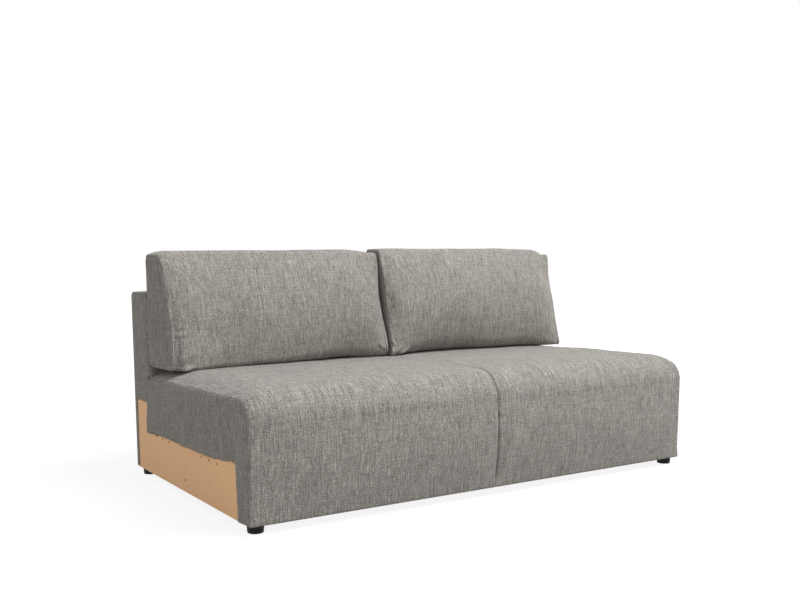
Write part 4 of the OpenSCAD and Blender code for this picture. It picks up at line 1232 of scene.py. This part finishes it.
def makeBackWadding():
    # a blanket of wadding over the front, top and rear of the back frame
    b = backFrame
    path = backPath()
    path = path[(path[:, 2] <= 180)]
    y, z, angle = path.T
    inset = b["waddingInset"]
    outY, outZ = liftOff(y, z, angle, -inset)
    inY = np.clip(outY, b["boardFrontY"], b["boardRearY"])
    inZ = np.minimum(outZ, b["boardTopZ"])
    xs = np.linspace(-sofa["halfWidth"] + b["waddingEnd"], sofa["halfWidth"] - b["waddingEnd"], 60)
    outer = np.array([[(x, a, c) for x in xs] for a, c in zip(outY, outZ)])
    inside = np.array([[(x, a, c) for x in xs] for a, c in zip(inY, inZ)])
    points = np.concatenate([outer.reshape(-1, 3), inside.reshape(-1, 3)])
    piece = meshFrom("backWadding", points, closedSkin(outer), points[:, :2], polyesterWadding)
    dressPiece(piece, "root", ["back_wadding"])


def makeBackEnd(side):
    b, s = backFrame, sofa
    inset = b["endRadius"]
    y0, y1 = s["backY"] + b["frontRadius"], s["rearY"] - inset
    z1, r = s["backHeight"] - inset, b["edgeRadius"] - inset
    rear = [(y1, b["flapTop"] + 2)]
    rear += [(y1 - r * (1 - math.cos(a)), z1 - r * (1 - math.sin(a))) for a in np.linspace(0, math.pi / 2, 8)]
    for facing in np.linspace(90, 0, 9):
        out = b["edgeRadius"] - endCorner(facing)
        rear.append((s["backY"] + b["edgeRadius"] - out * math.cos(math.radians(facing)),
                     s["backHeight"] - b["edgeRadius"] + out * math.sin(math.radians(facing))))
    low = (s["backY"] + 17.5, b["flapTop"] + 3)
    seamLine = smoothLine(rear + [(y0, 394), (s["backY"] + 7, 378), (s["backY"] + 1, 366), low], 6)
    cutLine = raggedLine([low, (s["backY"] + 70, b["flapTop"] + 0.5), (y1, b["flapTop"] + 2)], 3.0, 67)
    outline = np.concatenate([seamLine, cutLine[1:-1]])

    (puff, seamRun, rawRun), (dip, dipWidth) = b["panelPuff"], b["panelDip"]
    (uneven, unevenRun, unevenSize), (curl, curlWidth) = b["panelWaves"], b["panelCurl"]

    def bulge(y, z):
        toSeam, toRaw = nearest(y, z, seamLine), nearest(y, z, cutLine)
        lift = puff * ease(toSeam / seamRun) * ease(toRaw / rawRun) - dip * np.exp(-(toSeam / dipWidth) ** 2)
        lift = lift + uneven * ease(toSeam / unevenRun) * waves(y, z * 0.5, 68, unevenSize)
        return lift + curl * np.exp(-(toRaw / curlWidth) ** 2)

    piece = flatCloth(f"backEndFabric{side.capitalize()}", side, outline, bulge)
    dressPiece(piece, "root", [f"back_end_fabric_{side}"])
    fray = makeFray(f"backFray{side.capitalize()}", side, [(cutLine, (0, -1))], 69)
    dressPiece(fray, "root", [])


makeBackWadding()
makeBackCover()
for side in sides:
    makeBackEnd(side)
print("back frame covered")


# Felt over the springs, and the dust cloth under the base
underSheets = {
    "springFelt": {
        "node": "spring_felt", "material": needledFelt, "slot": "felt", "thickness": 2.6, "sag": 1.0,
        "size": 46.0, "held": "laid", "rests": ["seat_springs_left", "seat_springs_right"]},
    "dustCover": {
        "node": "dust_cover", "material": bondedDustCloth, "slot": "dust_cloth", "thickness": 0.6, "sag": 2.4,
        "size": 210.0, "held": "stretched", "rests": ["base_front_rail", "base_rear_rail"]},
}


edgeRun = 50  # over which a sheet rises to its edges, where it is held


def makeUnderSheet(name, spec):
    low, high = (np.array(v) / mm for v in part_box(spec["node"]))
    xs, ys = np.linspace(low[0], high[0], 130), np.linspace(low[1], high[1], 80)
    x, y = np.meshgrid(xs, ys)
    inside = ease((x - low[0]) / edgeRun) * ease((high[0] - x) / edgeRun)
    inside = inside * ease((y - low[1]) / edgeRun) * ease((high[1] - y) / edgeRun)
    z = (low[2] + high[2]) / 2 - spec["sag"] * inside * (0.6 + 0.4 * waves(x, y, 81, spec["size"]))
    points = np.stack([x, y, z], -1).reshape(-1, 3)
    piece = meshFrom(name, points, gridFaces(*x.shape).reshape(-1, 4), points[:, :2], spec["material"])
    addThickness(piece, spec["thickness"], 0)
    dressPiece(piece, "root", [spec["node"]])


for name, spec in underSheets.items():
    makeUnderSheet(name, spec)
print("felt and dust cloth made")


# Floor, light and background
stage = {"floor": "#a9a8a7", "floorHalf": 14.0, "shadow": 0.26, "shadowReach": (1.2, 3.4), "white": 1.2,
         "world": 0.62}


def showsBackground(tree, rays):
    seen = addNode(tree, "ShaderNodeLightPath")
    shown = seen.outputs[rays[0]]
    for name in rays[1:]:
        shown = mathNode(tree, "MAXIMUM", shown, seen.outputs[name])
    return shown


def makeStage():
    material = bpy.data.materials.new("paleFloor")
    material.use_nodes = True
    tree = material.node_tree
    tree.nodes.clear()
    matt = addNode(tree, "ShaderNodeBsdfDiffuse", {"Color": hexColour(stage["floor"])})
    white = addNode(tree, "ShaderNodeEmission", {"Color": (1, 1, 1, 1), "Strength": stage["white"]})
    anyView = showsBackground(tree, ("Is Camera Ray", "Is Glossy Ray"))
    reach = addNode(tree, "ShaderNodeVectorMath", {"operation": "LENGTH", 0: objectCoord(tree)})
    near, far = stage["shadowReach"]  # the floor shows the shadow beside the sofa, and is white further out
    fade = shareOf(tree, reach.outputs["Value"], near, far, 1 - stage["shadow"], 1.0)
    amount = mathNode(tree, "MULTIPLY", anyView, fade)
    mixed = addNode(tree, "ShaderNodeMixShader", {0: amount, 1: matt.outputs[0], 2: white.outputs[0]})
    addNode(tree, "ShaderNodeOutputMaterial", {"Surface": mixed.outputs[0]})
    half = stage["floorHalf"]
    mesh = bpy.data.meshes.new("floor")
    corners = [(-half, -half, 0), (half, -half, 0), (half, half, 0), (-half, half, 0)]
    mesh.from_pydata(corners, [], [(0, 1, 2, 3)])
    mesh.materials.append(material)
    floor = bpy.data.objects.new("floor", mesh)
    bpy.context.scene.collection.objects.link(floor)
    world = bpy.data.worlds.new("studio")
    bpy.context.scene.world = world
    world.use_nodes = True
    tree = world.node_tree
    tree.nodes.clear()
    soft = addNode(tree, "ShaderNodeBackground", {"Color": (1, 1, 1, 1), "Strength": stage["world"]})
    plain = addNode(tree, "ShaderNodeBackground", {"Color": (1, 1, 1, 1), "Strength": 1.0})
    anyView = showsBackground(tree, ("Is Camera Ray", "Is Glossy Ray", "Is Transmission Ray"))
    mixed = addNode(tree, "ShaderNodeMixShader", {0: anyView, 1: soft.outputs[0], 2: plain.outputs[0]})
    addNode(tree, "ShaderNodeOutputWorld", {"Surface": mixed.outputs[0]})


lamps = [  # name, place, aimed at, size, watts
    ("overhead", (2.1, -2.7, 5.8), (0, 0, 0.3), 3.4, 450),
    ("front", (-1.8, -4.2, 1.8), (0, 0, 0.3), 2.4, 14),
]


def makeLamps():
    for name, place, aim, size, watts in lamps:
        data = bpy.data.lights.new(name, "AREA")
        data.shape, data.size, data.energy = "SQUARE", size, watts
        lamp = bpy.data.objects.new(name, data)
        bpy.context.scene.collection.objects.link(lamp)
        lamp.location = place
        lamp.rotation_euler = (Vector(aim) - Vector(place)).to_track_quat("-Z", "Y").to_euler()


makeStage()
makeLamps()
bpy.context.scene.view_settings.view_transform = "Standard"
print("stage made")
